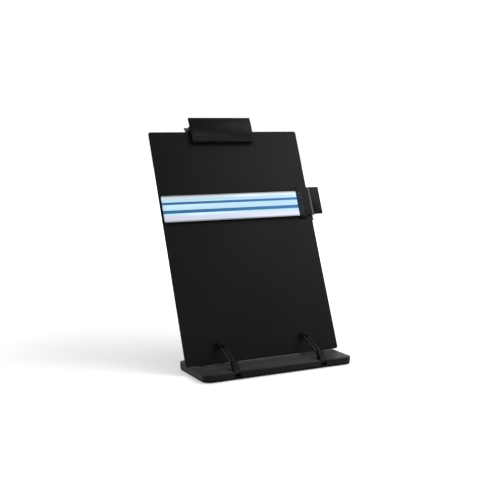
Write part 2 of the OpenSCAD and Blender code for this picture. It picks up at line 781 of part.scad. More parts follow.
module clip_rear_lever() {
    lip_y = panel_t / 2 + page_gap + pad_t;
    ear_at = clip_w / 2 - 2 * ear_t - side_gap + ear_t / 2;
    root_y = clip_rear_in + clip_t / 2;
    finger_end = [clip_rear_in, rear_bend_z] + rear_lever_l * [cos(rear_lever_rise),
        sin(rear_lever_rise)] + clip_t / 2 * [sin(rear_lever_rise), -cos(rear_lever_rise)];
    color(plastic) at_clip() difference() {
        union() {
            side_view(clip_w) rear_lever_view(clip_rear_in, clip_t, rear_jaw_l, lip_y,
                rear_lever_rise, rear_lever_l);
            // gussets behind the two ends
            for (x = [-1, 1]) translate([x * (clip_w - gusset_t) / 2, 0, 0]) side_view(gusset_t)
                polygon([[root_y, -clip_gusset_l], finger_end, [root_y, rear_bend_z]]);
            for (x = [-1, 1]) translate([x * ear_at, 0, 0]) side_view(ear_t) {
                circle(clip_ear_r);
                translate([0, -clip_ear_r]) square([clip_rear_in + ear_sink, 2 * clip_ear_r]);
            }
        }
        rod_x(clip_pin_r + seat_gap, clip_w + 2 * cut);
    }
}

module clip_rear_pad() {
    y0 = panel_t / 2 + page_gap;
    color(rubber) at_clip() jaw_pad(clip_w, y0, rear_jaw_l);
}

module clip_pin() {
    color(dark_wire) at_clip() rod_x(clip_pin_r, clip_w);
}

module clip_spring() {
    off = clip_coil_wire_r + leg_gap;
    front_y = -clip_reach + (clip_leg_z - clip_bend_z) * tan(clip_bend) + off;
    color(steel) at_clip() coil_spring(clip_coil_r, clip_coil_wire_r, clip_coil_turns, 180,
        [[front_y, clip_leg_z]], rear_leg(clip_rear_in, rear_lever_rise, off, 5), "clip spring");
}

// ---------- line guide ----------

// Straight up from the pin in this frame is outward over the panel's right edge, and +X
// runs down the slope.
module guide_front_jaw() {
    y1 = -guide_in;
    jaw_ear_sink = 0.2;
    block_z = -guide_jaw_l + guide_block_l / 2; // middle of the tall end
    ear_at = (guide_hinge_h - ear_t) / 2;
    color(plastic) at_guide() difference() {
        union() {
            // jaw plate: a tall end with rounded corners, and the way from there to the hinge
            translate([0, y1, 0]) rotate([90, 0, 0]) linear_extrude(guide_t) {
                translate([0, block_z]) rounded_rect(guide_h, guide_block_l, guide_corner_r);
                translate([-guide_h / 2, block_z]) square([guide_hinge_h, -block_z - barrel_in]);
            }
            translate([guide_hinge_x, 0, 0]) {
                // finger plate, leaning out to the front
                side_view(guide_hinge_h) translate([y1, 0]) rotate(guide_lever_bend)
                    translate([-guide_t, 0]) square([guide_t, guide_lever_l]);
                // barrel over the pin
                side_view(guide_hinge_h) intersection() {
                    circle(barrel_out);
                    translate([-barrel_out - cut, -barrel_out])
                        square([barrel_out + cut + barrel_rim_y, 2 * barrel_out]);
                }
                for (x = [-1, 1]) translate([x * ear_at, 0, 0]) side_view(ear_t) {
                    circle(guide_ear_r);
                    translate([y1 - jaw_ear_sink, -guide_ear_r])
                        square([-y1 + jaw_ear_sink, 2 * guide_ear_r]);
                }
            }
        }
        translate([guide_hinge_x, 0, 0]) {
            rod_x(guide_pin_r + pivot_play, guide_hinge_h + 2 * cut);
            rod_x(barrel_in, guide_hinge_h - 2 * ear_t);
        }
    }
}

module guide_front_pad() {
    y0 = -(panel_t / 2 + page_gap + pad_t);
    pad_low = -guide_jaw_l + 1;
    color(rubber) at_guide() box([-guide_h / 2 + pad_end_gap, guide_h / 2 - pad_end_gap],
        [y0, y0 + pad_t], [pad_low, pad_low + 2 * pad_h]);
}

guide_rear_in = 4.2;
guide_rear_l = 18;

module guide_rear_jaw() {
    lip_y = panel_t / 2 + page_gap + pad_t;
    ear_at = guide_hinge_h / 2 - 2 * ear_t - side_gap + ear_t / 2;
    color(plastic) at_guide() difference() {
        union() {
            side_view(guide_h) rear_lever_view(guide_rear_in, guide_t, guide_rear_l, lip_y,
                rear_lever_rise, guide_lever_l);
            for (x = [-1, 1]) translate([guide_hinge_x + x * ear_at, 0, 0]) side_view(ear_t) {
                circle(guide_ear_r);
                translate([0, -guide_ear_r]) square([guide_rear_in + ear_sink, 2 * guide_ear_r]);
            }
        }
        rod_x(guide_pin_r + seat_gap, guide_h + 2 * cut);
    }
}

module guide_rear_pad() {
    y0 = panel_t / 2 + page_gap;
    color(rubber) at_guide() jaw_pad(guide_h, y0, guide_rear_l);
}

module guide_pin() {
    color(dark_wire) at_guide() translate([guide_hinge_x, 0, 0])
        rod_x(guide_pin_r, guide_hinge_h);
}

module guide_spring() {
    off = guide_coil_wire_r + leg_gap;
    leg_y = barrel_rim_y + off;
    color(steel) at_guide() translate([guide_hinge_x, 0, 0])
        coil_spring(guide_coil_r, guide_coil_wire_r, guide_coil_turns, 180,
            [[leg_y, barrel_out], [leg_y, 2]], rear_leg(guide_rear_in, rear_lever_rise, off, 5),
            "guide spring");
}

// The strip's own frame: on the panel, with Z = 0 at the strip's middle
module at_strip() {
    on_panel() translate([0, sheet_mid + guide_front_y, guide_s + strip_mid_s]) children();
}

// The two lines, inlaid in the strip's front face and raised from it by proud
module line_pair(proud) {
    for (i = [-1, 1]) translate([0, 0, line_mid_s + i * line_pitch / 2])
        box([strip_left + line_free_gap, strip_right - line_root_gap],
            [-strip_t - proud, -strip_t + line_depth], [-line_h / 2, line_h / 2]);
}

module guide_strip() {
    strip_l = strip_right - strip_left;
    color(clear_blue, 0.6) at_strip() difference() {
        translate([strip_left + strip_l / 2, 0, 0]) rotate([90, 0, 0])
            linear_extrude(strip_t) rounded_rect(strip_l, strip_h, strip_corner_r);
        line_pair(cut);
    }
}

module guide_lines() {
    color(ink_blue) at_strip() line_pair(0);
}

// ---------- page arms ----------

// The lever's side view is drawn with +Y along the lever and turned to its rise.
module lever_side() {
    half_t = arm_hub_r;
    polygon([[0, -half_t], [arm_lever_l - 1, -half_t + 0.5], [arm_lever_l, -half_t + 1.5],
             [arm_lever_l, half_t - 0.8], [arm_lever_l - 0.8, half_t], [0, half_t]]);
}

module lever_taper() {
    polygon([[-arm_w / 2, -arm_hub_r - cut], [arm_w / 2, -arm_hub_r - cut], [arm_w / 2, 3],
             [arm_top_w / 2, arm_lever_l + cut], [-arm_top_w / 2, arm_lever_l + cut],
             [-arm_w / 2, 3]]);
}

module arm_lever(side) {
    coil_clear = 0.4;
    groove_at = [-2, 0, 2];
    groove_half = 0.35;
    groove_ends = [4, arm_lever_l - 1.5];
    color(plastic) at_arm(side) difference() {
        rotate([arm_lever_rise, 0, 0]) difference() {
            union() {
                intersection() {
                    side_view(arm_w + cut) lever_side();
                    translate([0, 0, -2 * arm_hub_r]) linear_extrude(4 * arm_hub_r) lever_taper();
                }
                rod_x(arm_hub_r, arm_w);
            }
            // room for the spring round the pin
            rod_x(arm_coil_r + arm_coil_wire_r + coil_clear, arm_pocket_w);
            box([-arm_pocket_w / 2, arm_pocket_w / 2], [-arm_hub_r - cut, 0],
                [-arm_hub_r - cut, arm_hub_r + cut]);
            box([-arm_pocket_w / 2, arm_pocket_w / 2], [-cut, 3],
                [-arm_hub_r - cut, 0]);
            // finger grooves along the outer face
            for (x = groove_at) box([x - groove_half, x + groove_half], groove_ends,
                [arm_hub_r - groove_half, arm_hub_r + cut]);
        }
        rod_x(arm_pin_r + pivot_play, arm_w + 2 * cut);
        arm_wire_form(arm_wire_r + seat_gap);
    }
}

// The bent wire, with its middle line's far end at the tip
module arm_wire_form(r) {
    half = arm_wire_gap / 2;
    translate([0, arm_top_y, arm_top_z]) rotate([arm_wire_rise - 90, 0, 0]) {
        for (x = [-1, 1]) translate([x * half, 0, -arm_socket_l])
            cylinder(r = r, h = arm_socket_l + arm_wire_l - half);
        translate([0, 0, arm_wire_l - half]) rotate([90, 0, 0])
            rotate_extrude(angle = 180) translate([half, 0]) circle(r);
    }
}

module arm_wire(side) {
    color(dark_wire) at_arm(side) arm_wire_form(arm_wire_r);
}

module arm_tip(side) {
    half = arm_wire_gap / 2;
    straight = arm_tip_l - half - arm_tip_r;
    color(rubber) at_arm(side) difference() {
        translate([0, arm_top_y, arm_top_z]) rotate([arm_wire_rise - 90, 0, 0])
            translate([0, 0, arm_wire_l - half]) {
                for (x = [-1, 1]) translate([x * half, 0, -straight])
                    cylinder(r = arm_tip_r, h = straight);
                box([-half, half], [-arm_tip_r, arm_tip_r], [-straight, 0]);
                rotate([90, 0, 0]) {
                    rotate_extrude(angle = 180) translate([half, 0]) circle(arm_tip_r);
                    linear_extrude(2 * arm_tip_r, center = true) intersection() {
                        circle(half);
                        translate([-half, 0]) square([2 * half, half]);
                    }
                }
            }
        arm_wire_form(arm_wire_r + seat_gap);
    }
}

base_cover();
base_plate();
base_feet();
base_screws();
angle_rack();
hinge_pins();
arm_pins();
arm_spring(-1);  // arm_spring_left
arm_spring(1);  // arm_spring_right
back_panel();
prop_bracket();
prop_wire();
prop_sleeve();
clip_rear_lever();
clip_rear_pad();
clip_pin();
clip_spring();
clip_front_lever();
clip_front_pad();
guide_rear_jaw();
guide_rear_pad();
guide_pin();
guide_spring();
guide_front_jaw();
guide_front_pad();
guide_strip();
guide_lines();
arm_lever(-1);  // arm_left_lever
arm_wire(-1);  // arm_left_wire
arm_tip(-1);  // arm_left_tip
arm_lever(1);  // arm_right_lever
arm_wire(1);  // arm_right_wire
arm_tip(1);  // arm_right_tip
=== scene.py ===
"""Copy holder with line guide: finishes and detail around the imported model.

A black sheet-steel panel leans on a flat moulded base, with a page clip on its top edge,
a line guide on its right edge and two page arms at its foot. Metres, in the model's frame:
X to the right, Y to the rear, Z up.
"""

import json
import math
from typing import NamedTuple

import bmesh
import bpy
from bpy.props import FloatProperty, FloatVectorProperty, IntProperty, PointerProperty
from mathutils import Matrix, Vector


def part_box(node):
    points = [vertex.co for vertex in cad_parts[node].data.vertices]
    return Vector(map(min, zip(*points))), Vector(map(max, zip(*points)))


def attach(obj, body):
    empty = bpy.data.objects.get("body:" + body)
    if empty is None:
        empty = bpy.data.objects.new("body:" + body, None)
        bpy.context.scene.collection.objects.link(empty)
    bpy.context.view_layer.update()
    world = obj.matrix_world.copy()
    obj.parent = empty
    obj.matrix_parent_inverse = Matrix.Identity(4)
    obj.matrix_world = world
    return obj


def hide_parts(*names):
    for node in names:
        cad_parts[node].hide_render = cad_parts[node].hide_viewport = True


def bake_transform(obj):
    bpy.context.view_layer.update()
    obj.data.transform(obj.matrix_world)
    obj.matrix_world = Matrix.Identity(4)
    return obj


bl_info = {
    "name": "Copy holder with line guide",
    "version": (1, 0, 0),
    "blender": (4, 5, 0),
    "location": "View3D > Sidebar > Copy holder",
    "description": "Dresses a desk copy holder, one operator for each group of its pieces",
    "category": "Add Mesh",
}

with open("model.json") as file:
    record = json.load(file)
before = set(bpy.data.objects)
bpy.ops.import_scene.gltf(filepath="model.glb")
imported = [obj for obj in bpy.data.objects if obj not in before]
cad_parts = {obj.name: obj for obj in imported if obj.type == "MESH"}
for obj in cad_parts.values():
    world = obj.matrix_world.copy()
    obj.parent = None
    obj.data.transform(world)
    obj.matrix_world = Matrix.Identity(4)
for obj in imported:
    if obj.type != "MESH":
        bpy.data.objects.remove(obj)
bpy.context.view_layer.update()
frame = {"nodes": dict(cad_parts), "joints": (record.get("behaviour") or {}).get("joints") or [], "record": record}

MM = 0.001

# ---------- places, from the frame ----------

JOINTS = {joint["name"]: joint for joint in frame["joints"]}
ACROSS = Vector((1.0, 0.0, 0.0))
UP_SLOPE = Vector(JOINTS["guide_slide"]["axis"]).normalized()
OUT_BACK = UP_SLOPE.cross(ACROSS)
LEAN = math.atan2(UP_SLOPE.y, UP_SLOPE.z)


def place(origin, x_axis, y_axis, z_axis):
    """The matrix that takes a piece from its own axes to the model's frame."""
    matrix = Matrix((x_axis, y_axis, z_axis)).transposed().to_4x4()
    matrix.translation = Vector(origin)
    return matrix


def joint_point(name):
    return Vector(JOINTS[name]["pos_m"])


PANEL = place(joint_point("panel_tilt"), ACROSS, OUT_BACK, UP_SLOPE)
CLIP = place(joint_point("clip_open"), ACROSS, OUT_BACK, UP_SLOPE)


def arm_place(side):
    return Matrix.Translation(joint_point(f"arm_{side}_swing"))


# ---------- colours ----------


def linear(hex_code):
    """An sRGB hex colour as linear red, green, blue and alpha."""
    channels = [int(hex_code[i : i + 2], 16) / 255 for i in (1, 3, 5)]
    knee = 0.04045
    return [c / 12.92 if c <= knee else ((c + 0.055) / 1.055) ** 2.4 for c in channels] + [1.0]


def colour_property(name, description, hex_code):
    return FloatVectorProperty(
        name=name,
        description=description,
        default=linear(hex_code)[:3],
        subtype="COLOR",
        min=0.0,
        max=1.0,
    )


def length_property(name, description, millimetres):
    return FloatProperty(
        name=name,
        description=description,
        default=millimetres * MM,
        min=0.0,
        subtype="DISTANCE",
        unit="LENGTH",
    )


# ---------- settings ----------


class HolderSizes(bpy.types.PropertyGroup):
    """Sizes of the detail that is added to the model"""

    moulded_edge: length_property("Moulded edge", "Rounding of a moulded part's edges", 0.3)
    fine_edge: length_property("Fine edge", "Rounding of thin lips, sheet and pads", 0.2)
    pin_edge: length_property("Pin edge", "Rounding of the ends of pins", 0.2)
    clip_end: length_property("Clip end bevel", "Bevel across the clip plate's ends", 0.8)
    prop_half: length_property("Prop half width", "Middle of the prop to a leg", 17.0)
    prop_reach: length_property("Prop reach", "Middle of the prop to the end of a stub", 29.5)
    prop_radius: length_property("Prop wire radius", "Radius of the prop's wire", 2.0)
    prop_elbow: length_property("Prop elbow", "Bend radius at the prop's pivot", 3.5)
    prop_bend: length_property("Prop bend", "Bend radius at the prop's foot", 6.0)
    foot_edge: length_property("Foot edge", "Rounding of a rubber foot", 0.4)
    weld_radius: length_property("Weld mark radius", "Radius of a spot weld's mark", 2.2)


class HolderFinish(bpy.types.PropertyGroup):
    """Colours of the finishes"""

    abs_black: colour_property("Black ABS", "Moulded cover, clip, jaws and arm levers", "#0d0d0e")
    # The pale line along the guide's barrel is a painted highlight.
    abs_painted_highlight: colour_property("Painted highlight ABS", "Line along the guide's barrel", "#77787b")
    abs_matt: colour_property("Matt ABS", "Bottom plate and notched rack", "#0b0b0c")
    rubber: colour_property("Rubber", "Feet, pads, tips and sleeve", "#0d0d0e")
    enamel: colour_property("Enamel", "Sheet steel panel and bracket", "#111112")
    steel: colour_property("Plated steel", "Hinge pins, screws and prop", "#b4b6b8")
    spring: colour_property("Spring steel", "Springs of the clip and the guide", "#8f9092")
    wire: colour_property("Blackened wire", "Arm wires and springs, and the black pins", "#36373a")
    acrylic: colour_property("Acrylic", "Upper band of the line guide's strip", "#dfe9f2")
    cyan: colour_property("Pale band", "Pale bands of the strip", "#c4ebff")
    lilac: colour_property("Lower band", "Strip below the lines", "#dfe3f6")
    # The strip's edge grey is its sawn edge, widened onto the face by painted shade.
    strip_edge_and_shade: colour_property("Strip edge", "Sawn edges of the strip", "#99a2a8")
    line_left: colour_property("Line, free end", "Blue lines near the strip's free end", "#336a93")
    line_right: colour_property("Line, jaw end", "Blue lines near the jaw", "#4174ab")
    line_lap: colour_property("Line, over the jaw", "Blue lines over the black jaw", "#0c1830")


class HolderStage(bpy.types.PropertyGroup):
    """Camera and light"""

    lens: FloatProperty(name="Lens", description="Focal length, mm", default=65.86, min=20.0)
    key: FloatProperty(name="Key light", description="Key light, W", default=12.0, min=0.0)
    fill: FloatProperty(name="Fill light", description="Fill light, W", default=2.5, min=0.0)
    gleam: FloatProperty(name="Gleam light", description="Low front light, W", default=1.2)
    sheen: FloatProperty(name="Sheen light", description="Light on the clip, W", default=1.6)
    rear: FloatProperty(name="Rear light", description="Rear light, W", default=2.0, min=0.0)
    ambient: FloatProperty(name="Ambient", description="Light from all round", default=0.5)
    floor: colour_property("Floor", "Floor and backdrop", "#f2f2f2")
    rings: IntProperty(name="Rings", description="Sides of a turned piece", default=48, min=12)


def sizes():
    return bpy.context.scene.holder_sizes


def finish():
    return bpy.context.scene.holder_finish


def stage_settings():
    return bpy.context.scene.holder_stage


# ---------- materials ----------


def input_socket(node, name):
    """A node's input by number, or by name among those in use."""
    if isinstance(name, int):
        return node.inputs[name]
    return next(socket for socket in node.inputs if socket.name == name and socket.enabled)


def output_socket(node, name):
    return next(socket for socket in node.outputs if socket.name == name and socket.enabled)


def add_node(tree, kind, inputs=None, **settings):
    """Adds a node with its settings, and its inputs as values or links."""
    made = tree.nodes.new(kind)
    for key, value in settings.items():
        setattr(made, key, value)
    for socket, value in (inputs or {}).items():
        target = input_socket(made, socket)
        if isinstance(value, bpy.types.NodeSocket):
            tree.links.new(value, target)
        else:
            target.default_value = value
    return made


def new_material(name):
    """An empty node material, with its tree, its shader and its object coordinates."""
    material = bpy.data.materials.new(name)
    material.use_nodes = True
    tree = material.node_tree
    tree.nodes.clear()
    shader = add_node(tree, "ShaderNodeBsdfPrincipled")
    add_node(tree, "ShaderNodeOutputMaterial", {"Surface": shader.outputs["BSDF"]})
    coords = add_node(tree, "ShaderNodeTexCoord").outputs["Object"]
    return material, tree, shader, coords


def noise(tree, coords, feature_mm, detail=2.0, roughness=0.5):
    """Noise whose features are feature_mm across."""
    scale = 1.0 / (feature_mm * MM)
    inputs = {"Vector": coords, "Scale": scale, "Detail": detail, "Roughness": roughness}
    return add_node(tree, "ShaderNodeTexNoise", inputs).outputs["Fac"]


def spread(tree, value, low, high):
    """Noise round its middle value turned to the range from low to high."""
    inputs = {"Value": value, "From Min": 0.3, "From Max": 0.7, "To Min": low, "To Max": high}
    return add_node(tree, "ShaderNodeMapRange", inputs).outputs["Result"]


def shaded(tree, colour, value, low, high):
    """The colour, a constant or a socket, times a factor between low and high."""
    if not isinstance(colour, bpy.types.NodeSocket):
        colour = colour[:3]
    inputs = {"Vector": colour, "Scale": spread(tree, value, low, high)}
    return add_node(tree, "ShaderNodeVectorMath", inputs, operation="SCALE").outputs["Vector"]


def bump(tree, height, depth_mm, strength=1.0):
    inputs = {"Height": height, "Distance": depth_mm * MM, "Strength": strength}
    return add_node(tree, "ShaderNodeBump", inputs).outputs["Normal"]


def mixed(tree, kind, factor, first, second):
    """A colour or number that goes from the first to the second as the factor rises."""
    inputs = {"Factor": factor, "A": first, "B": second}
    return output_socket(add_node(tree, "ShaderNodeMix", inputs, data_type=kind), "Result")


def crest_stripe(tree, coords, middle, half):
    """1 along the line where X is the middle, fading to 0 at half a stripe's width from it."""
    x = add_node(tree, "ShaderNodeSeparateXYZ", {"Vector": coords}).outputs["X"]
    off = add_node(tree, "ShaderNodeMath", {0: x, 1: middle}, operation="SUBTRACT").outputs[0]
    away = add_node(tree, "ShaderNodeMath", {0: off}, operation="ABSOLUTE").outputs[0]
    inputs = {"Value": away, "From Min": half, "From Max": 0.0}
    return add_node(tree, "ShaderNodeMapRange", inputs).outputs["Result"]


# The black finishes mirror less than their index gives, to match the object's deep blacks.
BLACK_SPECULAR = 0.05
COVER_SHEEN = 0.14
CREST_INBOARD = 1.9 * MM  # of the painted highlight line on the guide's barrel, from its pin
CREST_HALF = 1.3 * MM


def moulded_plastic(name, colour, grain_mm, grain_depth_mm, gloss, sheen=0.0, crest=None):
    """Moulded ABS: an even spark-eroded grain breaks the sheen, with slow changes of gloss.

    The crest, if there is one, is the middle and half width of a stripe painted paler as a painted highlight.
    """
    material, tree, shader, coords = new_material(name)
    low, high = gloss
    shader.inputs["IOR"].default_value = 1.53
    shader.inputs["Specular IOR Level"].default_value = BLACK_SPECULAR
    grain = noise(tree, coords, grain_mm, detail=3.0)
    cloud = noise(tree, coords, 22.0)
    tone = shaded(tree, colour, cloud, 0.9, 1.12)
    if crest:
        stripe = crest_stripe(tree, coords, *crest)
        tone = mixed(tree, "RGBA", stripe, tone, [*finish().abs_painted_highlight, 1.0])
    shader.inputs["Sheen Weight"].default_value = sheen
    tree.links.new(tone, shader.inputs["Base Color"])
    tree.links.new(spread(tree, cloud, low, high), shader.inputs["Roughness"])
    tree.links.new(bump(tree, grain, grain_depth_mm), shader.inputs["Normal"])
    return material


def moulded_black_abs():
    # Semi-gloss ABS from an eroded tool. The real grain is about 0.15 mm across. It is drawn
    # at 0.5 mm, so that it shows at this distance.
    return moulded_plastic("black_abs_moulded", finish().abs_black, 0.5, 0.02, (0.34, 0.44))


def textured_cover_abs():
    # The cover's ABS has a slightly deeper grain and a trace of dust, which scatter light
    # that grazes it, so its top looks paler than its sides.
    colour, gloss = finish().abs_black, (0.4, 0.5)
    return moulded_plastic("black_abs_textured_cover", colour, 0.5, 0.03, gloss, COVER_SHEEN)


def jaw_abs_painted_highlight():
    # The jaw's ABS is the clip's, with a paler stripe painted along the crest of its hinge barrel:
    # a painted highlight, which shows as a thin grey line along it.
    low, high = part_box("guide_pin")
    crest = (low.x + high.x) / 2 - CREST_INBOARD, CREST_HALF
    colour, gloss = finish().abs_black, (0.34, 0.44)
    return moulded_plastic("black_abs_rubbed_jaw", colour, 0.5, 0.02, gloss, crest=crest)


def moulded_matt_abs():
    # The same plastic from a coarser tool: little sheen, so the parts underneath stay quiet.
    return moulded_plastic("matt_abs_moulded", finish().abs_matt, 0.7, 0.04, (0.52, 0.62))


def moulded_rubber():
    # Nitrile rubber: nearly no highlight, with a dusty bloom in patches.
    material, tree, shader, coords = new_material("nitrile_rubber_moulded")
    shader.inputs["IOR"].default_value = 1.52
    shader.inputs["Specular IOR Level"].default_value = BLACK_SPECULAR
    bloom = noise(tree, coords, 3.0, detail=4.0)
    tree.links.new(shaded(tree, finish().rubber, bloom, 0.85, 1.5), shader.inputs["Base Color"])
    tree.links.new(spread(tree, bloom, 0.62, 0.8), shader.inputs["Roughness"])
    tree.links.new(bump(tree, noise(tree, coords, 0.4), 0.015), shader.inputs["Normal"])
    return material


def stoved_enamel():
    # Fine-texture powder enamel, stoved on sheet steel: a dense orange peel about 0.8 mm
    # across scatters the light, under a soft even sheen.
    material, tree, shader, coords = new_material("black_enamel_stoved")
    shader.inputs["IOR"].default_value = 1.5
    shader.inputs["Specular IOR Level"].default_value = BLACK_SPECULAR
    peel = noise(tree, coords, 0.8, detail=3.0, roughness=0.6)
    drift = noise(tree, coords, 60.0)
    tree.links.new(shaded(tree, finish().enamel, drift, 0.92, 1.1), shader.inputs["Base Color"])
    tree.links.new(spread(tree, drift, 0.42, 0.5), shader.inputs["Roughness"])
    tree.links.new(bump(tree, peel, 0.05), shader.inputs["Normal"])
    return material


def drawn_steel(name, colour, roughness, grain_mm):
    """Drawn steel: a fine grain breaks its highlight, and faint stains cloud its colour."""
    material, tree, shader, coords = new_material(name)
    low, high = roughness
    shader.inputs["Metallic"].default_value = 1.0
    grain = noise(tree, coords, grain_mm, detail=4.0)
    stain = noise(tree, coords, 6.0)
    tree.links.new(shaded(tree, colour, stain, 0.86, 1.08), shader.inputs["Base Color"])
    tree.links.new(spread(tree, grain, low, high), shader.inputs["Roughness"])
    tree.links.new(bump(tree, grain, 0.008), shader.inputs["Normal"])
    return material


def zinc_plated_steel():
    # Bright zinc over drawn steel: a clean highlight, slightly clouded by the plating.
    return drawn_steel("steel_zinc_plated", finish().steel, (0.22, 0.36), 0.4)


def spring_steel():
    # Oil-drawn spring wire: greyer than zinc, with a finer grain.
    return drawn_steel("spring_steel_drawn", finish().spring, (0.25, 0.4), 0.3)


def blackened_wire():
    # Steel wire blackened after plating: dark grey, with a thin sharp highlight.
    return drawn_steel("steel_wire_blackened", finish().wire, (0.3, 0.42), 0.3)


# Bands of the strip, from its lower edge to its upper edge: where each starts, in mm from
# the strip's middle, its colour and how much of what lies behind it it hides. The ink spreads
# a little past both inlaid lines, further past the lower one. The grey bands at both edges
# are the sawn edges, carried onto the face as painted shade.
STRIP_BANDS = (
    (-17.0, "strip_edge_and_shade", 0.9),
    (-15.6, "lilac", 0.88),
    (-9.2, "cyan", 0.94),
    (-6.3, "ink", 0.97),
    (-2.1, "cyan", 0.94),
    (5.1, "ink", 0.97),
    (8.3, "cyan", 0.94),
    (12.6, "acrylic", 0.9),
    (15.4, "strip_edge_and_shade", 0.9),
)
STRIP_HALF = 17.0 * MM
LAP_MARGIN = 1.5 * MM  # of clear strip before the jaw's inner edge
LAP_COVER = 0.02  # how much of the black jaw the strip hides where it laps over it
INK_SPECULAR = 0.1


def band_ramp(tree, value, stops):
    """A colour ramp with hard changes at the given places."""
    ramp = add_node(tree, "ShaderNodeValToRGB", {"Fac": value})
    ramp.color_ramp.interpolation = "CONSTANT"
    elements = ramp.color_ramp.elements
    while len(elements) > 1:
        elements.remove(elements[-1])
    for i, (position, colour) in enumerate(stops):
        element = elements[0] if i == 0 else elements.new(position)
        element.position = position
        element.color = colour
    return ramp.outputs["Color"]


def over_jaw(tree, coords):
    """1 where the strip laps over the jaw, from just before the jaw's inner edge."""
    inputs = {
        0: add_node(tree, "ShaderNodeSeparateXYZ", {"Vector": coords}).outputs["X"],
        1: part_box("guide_front_jaw")[0].x - LAP_MARGIN,
    }
    return add_node(tree, "ShaderNodeMath", inputs, operation="GREATER_THAN").outputs[0]


def ink_colour(tree, coords):
    """The lines' blue, a little paler to the right."""
    low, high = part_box("guide_lines")
    x = add_node(tree, "ShaderNodeSeparateXYZ", {"Vector": coords}).outputs["X"]
    inputs = {"Value": x, "From Min": low.x, "From Max": high.x}
    along = add_node(tree, "ShaderNodeMapRange", inputs).outputs["Result"]
    ends = [[*hue, 1.0] for hue in (finish().line_left, finish().line_right)]
    return mixed(tree, "RGBA", along, *ends)


def cast_acrylic():
    # Cast acrylic sheet with pale bands frosted into its back and greyer sawn edges, whose grey
    # runs onto the face as painted shade. It is glossy, so a sharp highlight lies over the soft
    # colour. Where it laps over the black jaw it is left clear.
    material, tree, shader, coords = new_material("clear_acrylic_banded")
    shader.inputs["IOR"].default_value = 1.49
    shader.inputs["Specular IOR Level"].default_value = 0.25
    shader.inputs["Roughness"].default_value = 0.14
    low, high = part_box("guide_strip")
    inputs = {"Vector": coords, "Location": (low + high) / 2, "Rotation": (-LEAN, 0.0, 0.0)}
    along = add_node(tree, "ShaderNodeMapping", inputs, vector_type="TEXTURE").outputs["Vector"]
    height = add_node(tree, "ShaderNodeSeparateXYZ", {"Vector": along}).outputs["Z"]
    inputs = {"Value": height, "From Min": -STRIP_HALF, "From Max": STRIP_HALF}
    share = add_node(tree, "ShaderNodeMapRange", inputs).outputs["Result"]
    starts = [(start * MM + STRIP_HALF) / (2 * STRIP_HALF) for start, name, cover in STRIP_BANDS]
    hues = [[*getattr(finish(), name, (0, 0, 0)), 1.0] for start, name, cover in STRIP_BANDS]
    inked = [[float(name == "ink")] * 3 + [1.0] for start, name, cover in STRIP_BANDS]
    covers = [(cover, cover, cover, 1.0) for start, name, cover in STRIP_BANDS]
    ink = ink_colour(tree, coords)
    bands = band_ramp(tree, share, zip(starts, hues))
    colour = mixed(tree, "RGBA", band_ramp(tree, share, zip(starts, inked)), bands, ink)
    cover = band_ramp(tree, share, zip(starts, covers))
    frost = noise(tree, coords, 0.6, detail=2.0)
    tree.links.new(shaded(tree, colour, frost, 0.98, 1.02), shader.inputs["Base Color"])
    cover = mixed(tree, "FLOAT", over_jaw(tree, coords), cover, LAP_COVER)
    tree.links.new(cover, shader.inputs["Alpha"])
    return material


def printed_blue():
    # Translucent screen ink inlaid in the acrylic: flat blue under a dull gloss, and navy
    # where the black jaw shows through it.
    material, tree, shader, coords = new_material("blue_ink_printed")
    shader.inputs["Specular IOR Level"].default_value = INK_SPECULAR
    shader.inputs["Roughness"].default_value = 0.35
    lap = [*finish().line_lap, 1.0]
    whole = mixed(tree, "RGBA", over_jaw(tree, coords), ink_colour(tree, coords), lap)
    grain = noise(tree, coords, 1.5, detail=3.0)
    tree.links.new(shaded(tree, whole, grain, 0.95, 1.05), shader.inputs["Base Color"])
    return material


MATERIAL_MAKERS = {
    "black_abs": moulded_black_abs,
    "cover_abs": textured_cover_abs,
    "jaw_abs": jaw_abs_painted_highlight,
    "dark_abs": moulded_matt_abs,
    "rubber": moulded_rubber,
    "black_enamel": stoved_enamel,
    "bright_steel": zinc_plated_steel,
    "spring_steel": spring_steel,
    "dark_wire": blackened_wire,
    "clear_acrylic": cast_acrylic,
    "blue_ink": printed_blue,
}
MADE_MATERIALS = {}


def material_for(slot):
    """The finish of a material slot, made once."""
    if slot not in MADE_MATERIALS:
        MADE_MATERIALS[slot] = MATERIAL_MAKERS[slot]()
    return MADE_MATERIALS[slot]


# ---------- meshes ----------

NODE_SLOT = {part["node"]: part["material_slot"] for part in frame["record"]["subparts"]}
NODE_BODY = {
    node: body for body, nodes in frame["record"]["behaviour"]["bodies"].items() for node in nodes
}


def link_mesh(name, mesh):
    made = bpy.data.objects.new(name, mesh)
    bpy.context.scene.collection.objects.link(made)
    return made


def object_from(name, bm):
    mesh = bpy.data.meshes.new(name)
    bm.to_mesh(mesh)
    bm.free()
    return link_mesh(name, mesh)


def settle(piece, node, finish_slot=None, twist=None):
    """The finished piece stands for its node, in that node's body and finish.

    The twist of a spring names the two bodies at its ends, and where it starts and ends to turn
    from one to the other. Only whether it is given is used: a spring is then fixed in the frame.
    """
    slot = NODE_SLOT[node]
    piece.data.materials.clear()
    piece.data.materials.append(material_for(finish_slot or slot))
    if twist:
        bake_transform(piece)
    else:
        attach(piece, NODE_BODY[node])
    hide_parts(node)
    return piece


def merged(node):
    """A copy of a node's mesh with its corners joined and its flat faces whole."""
    bm = bmesh.new()
    bm.from_mesh(frame["nodes"][node].data)
    bmesh.ops.remove_doubles(bm, verts=bm.verts, dist=0.001 * MM)
    flat = math.radians(0.3)
    bmesh.ops.dissolve_limit(bm, angle_limit=flat, verts=bm.verts, edges=bm.edges)
    return bm


SHARP_ANGLE = math.radians(32)


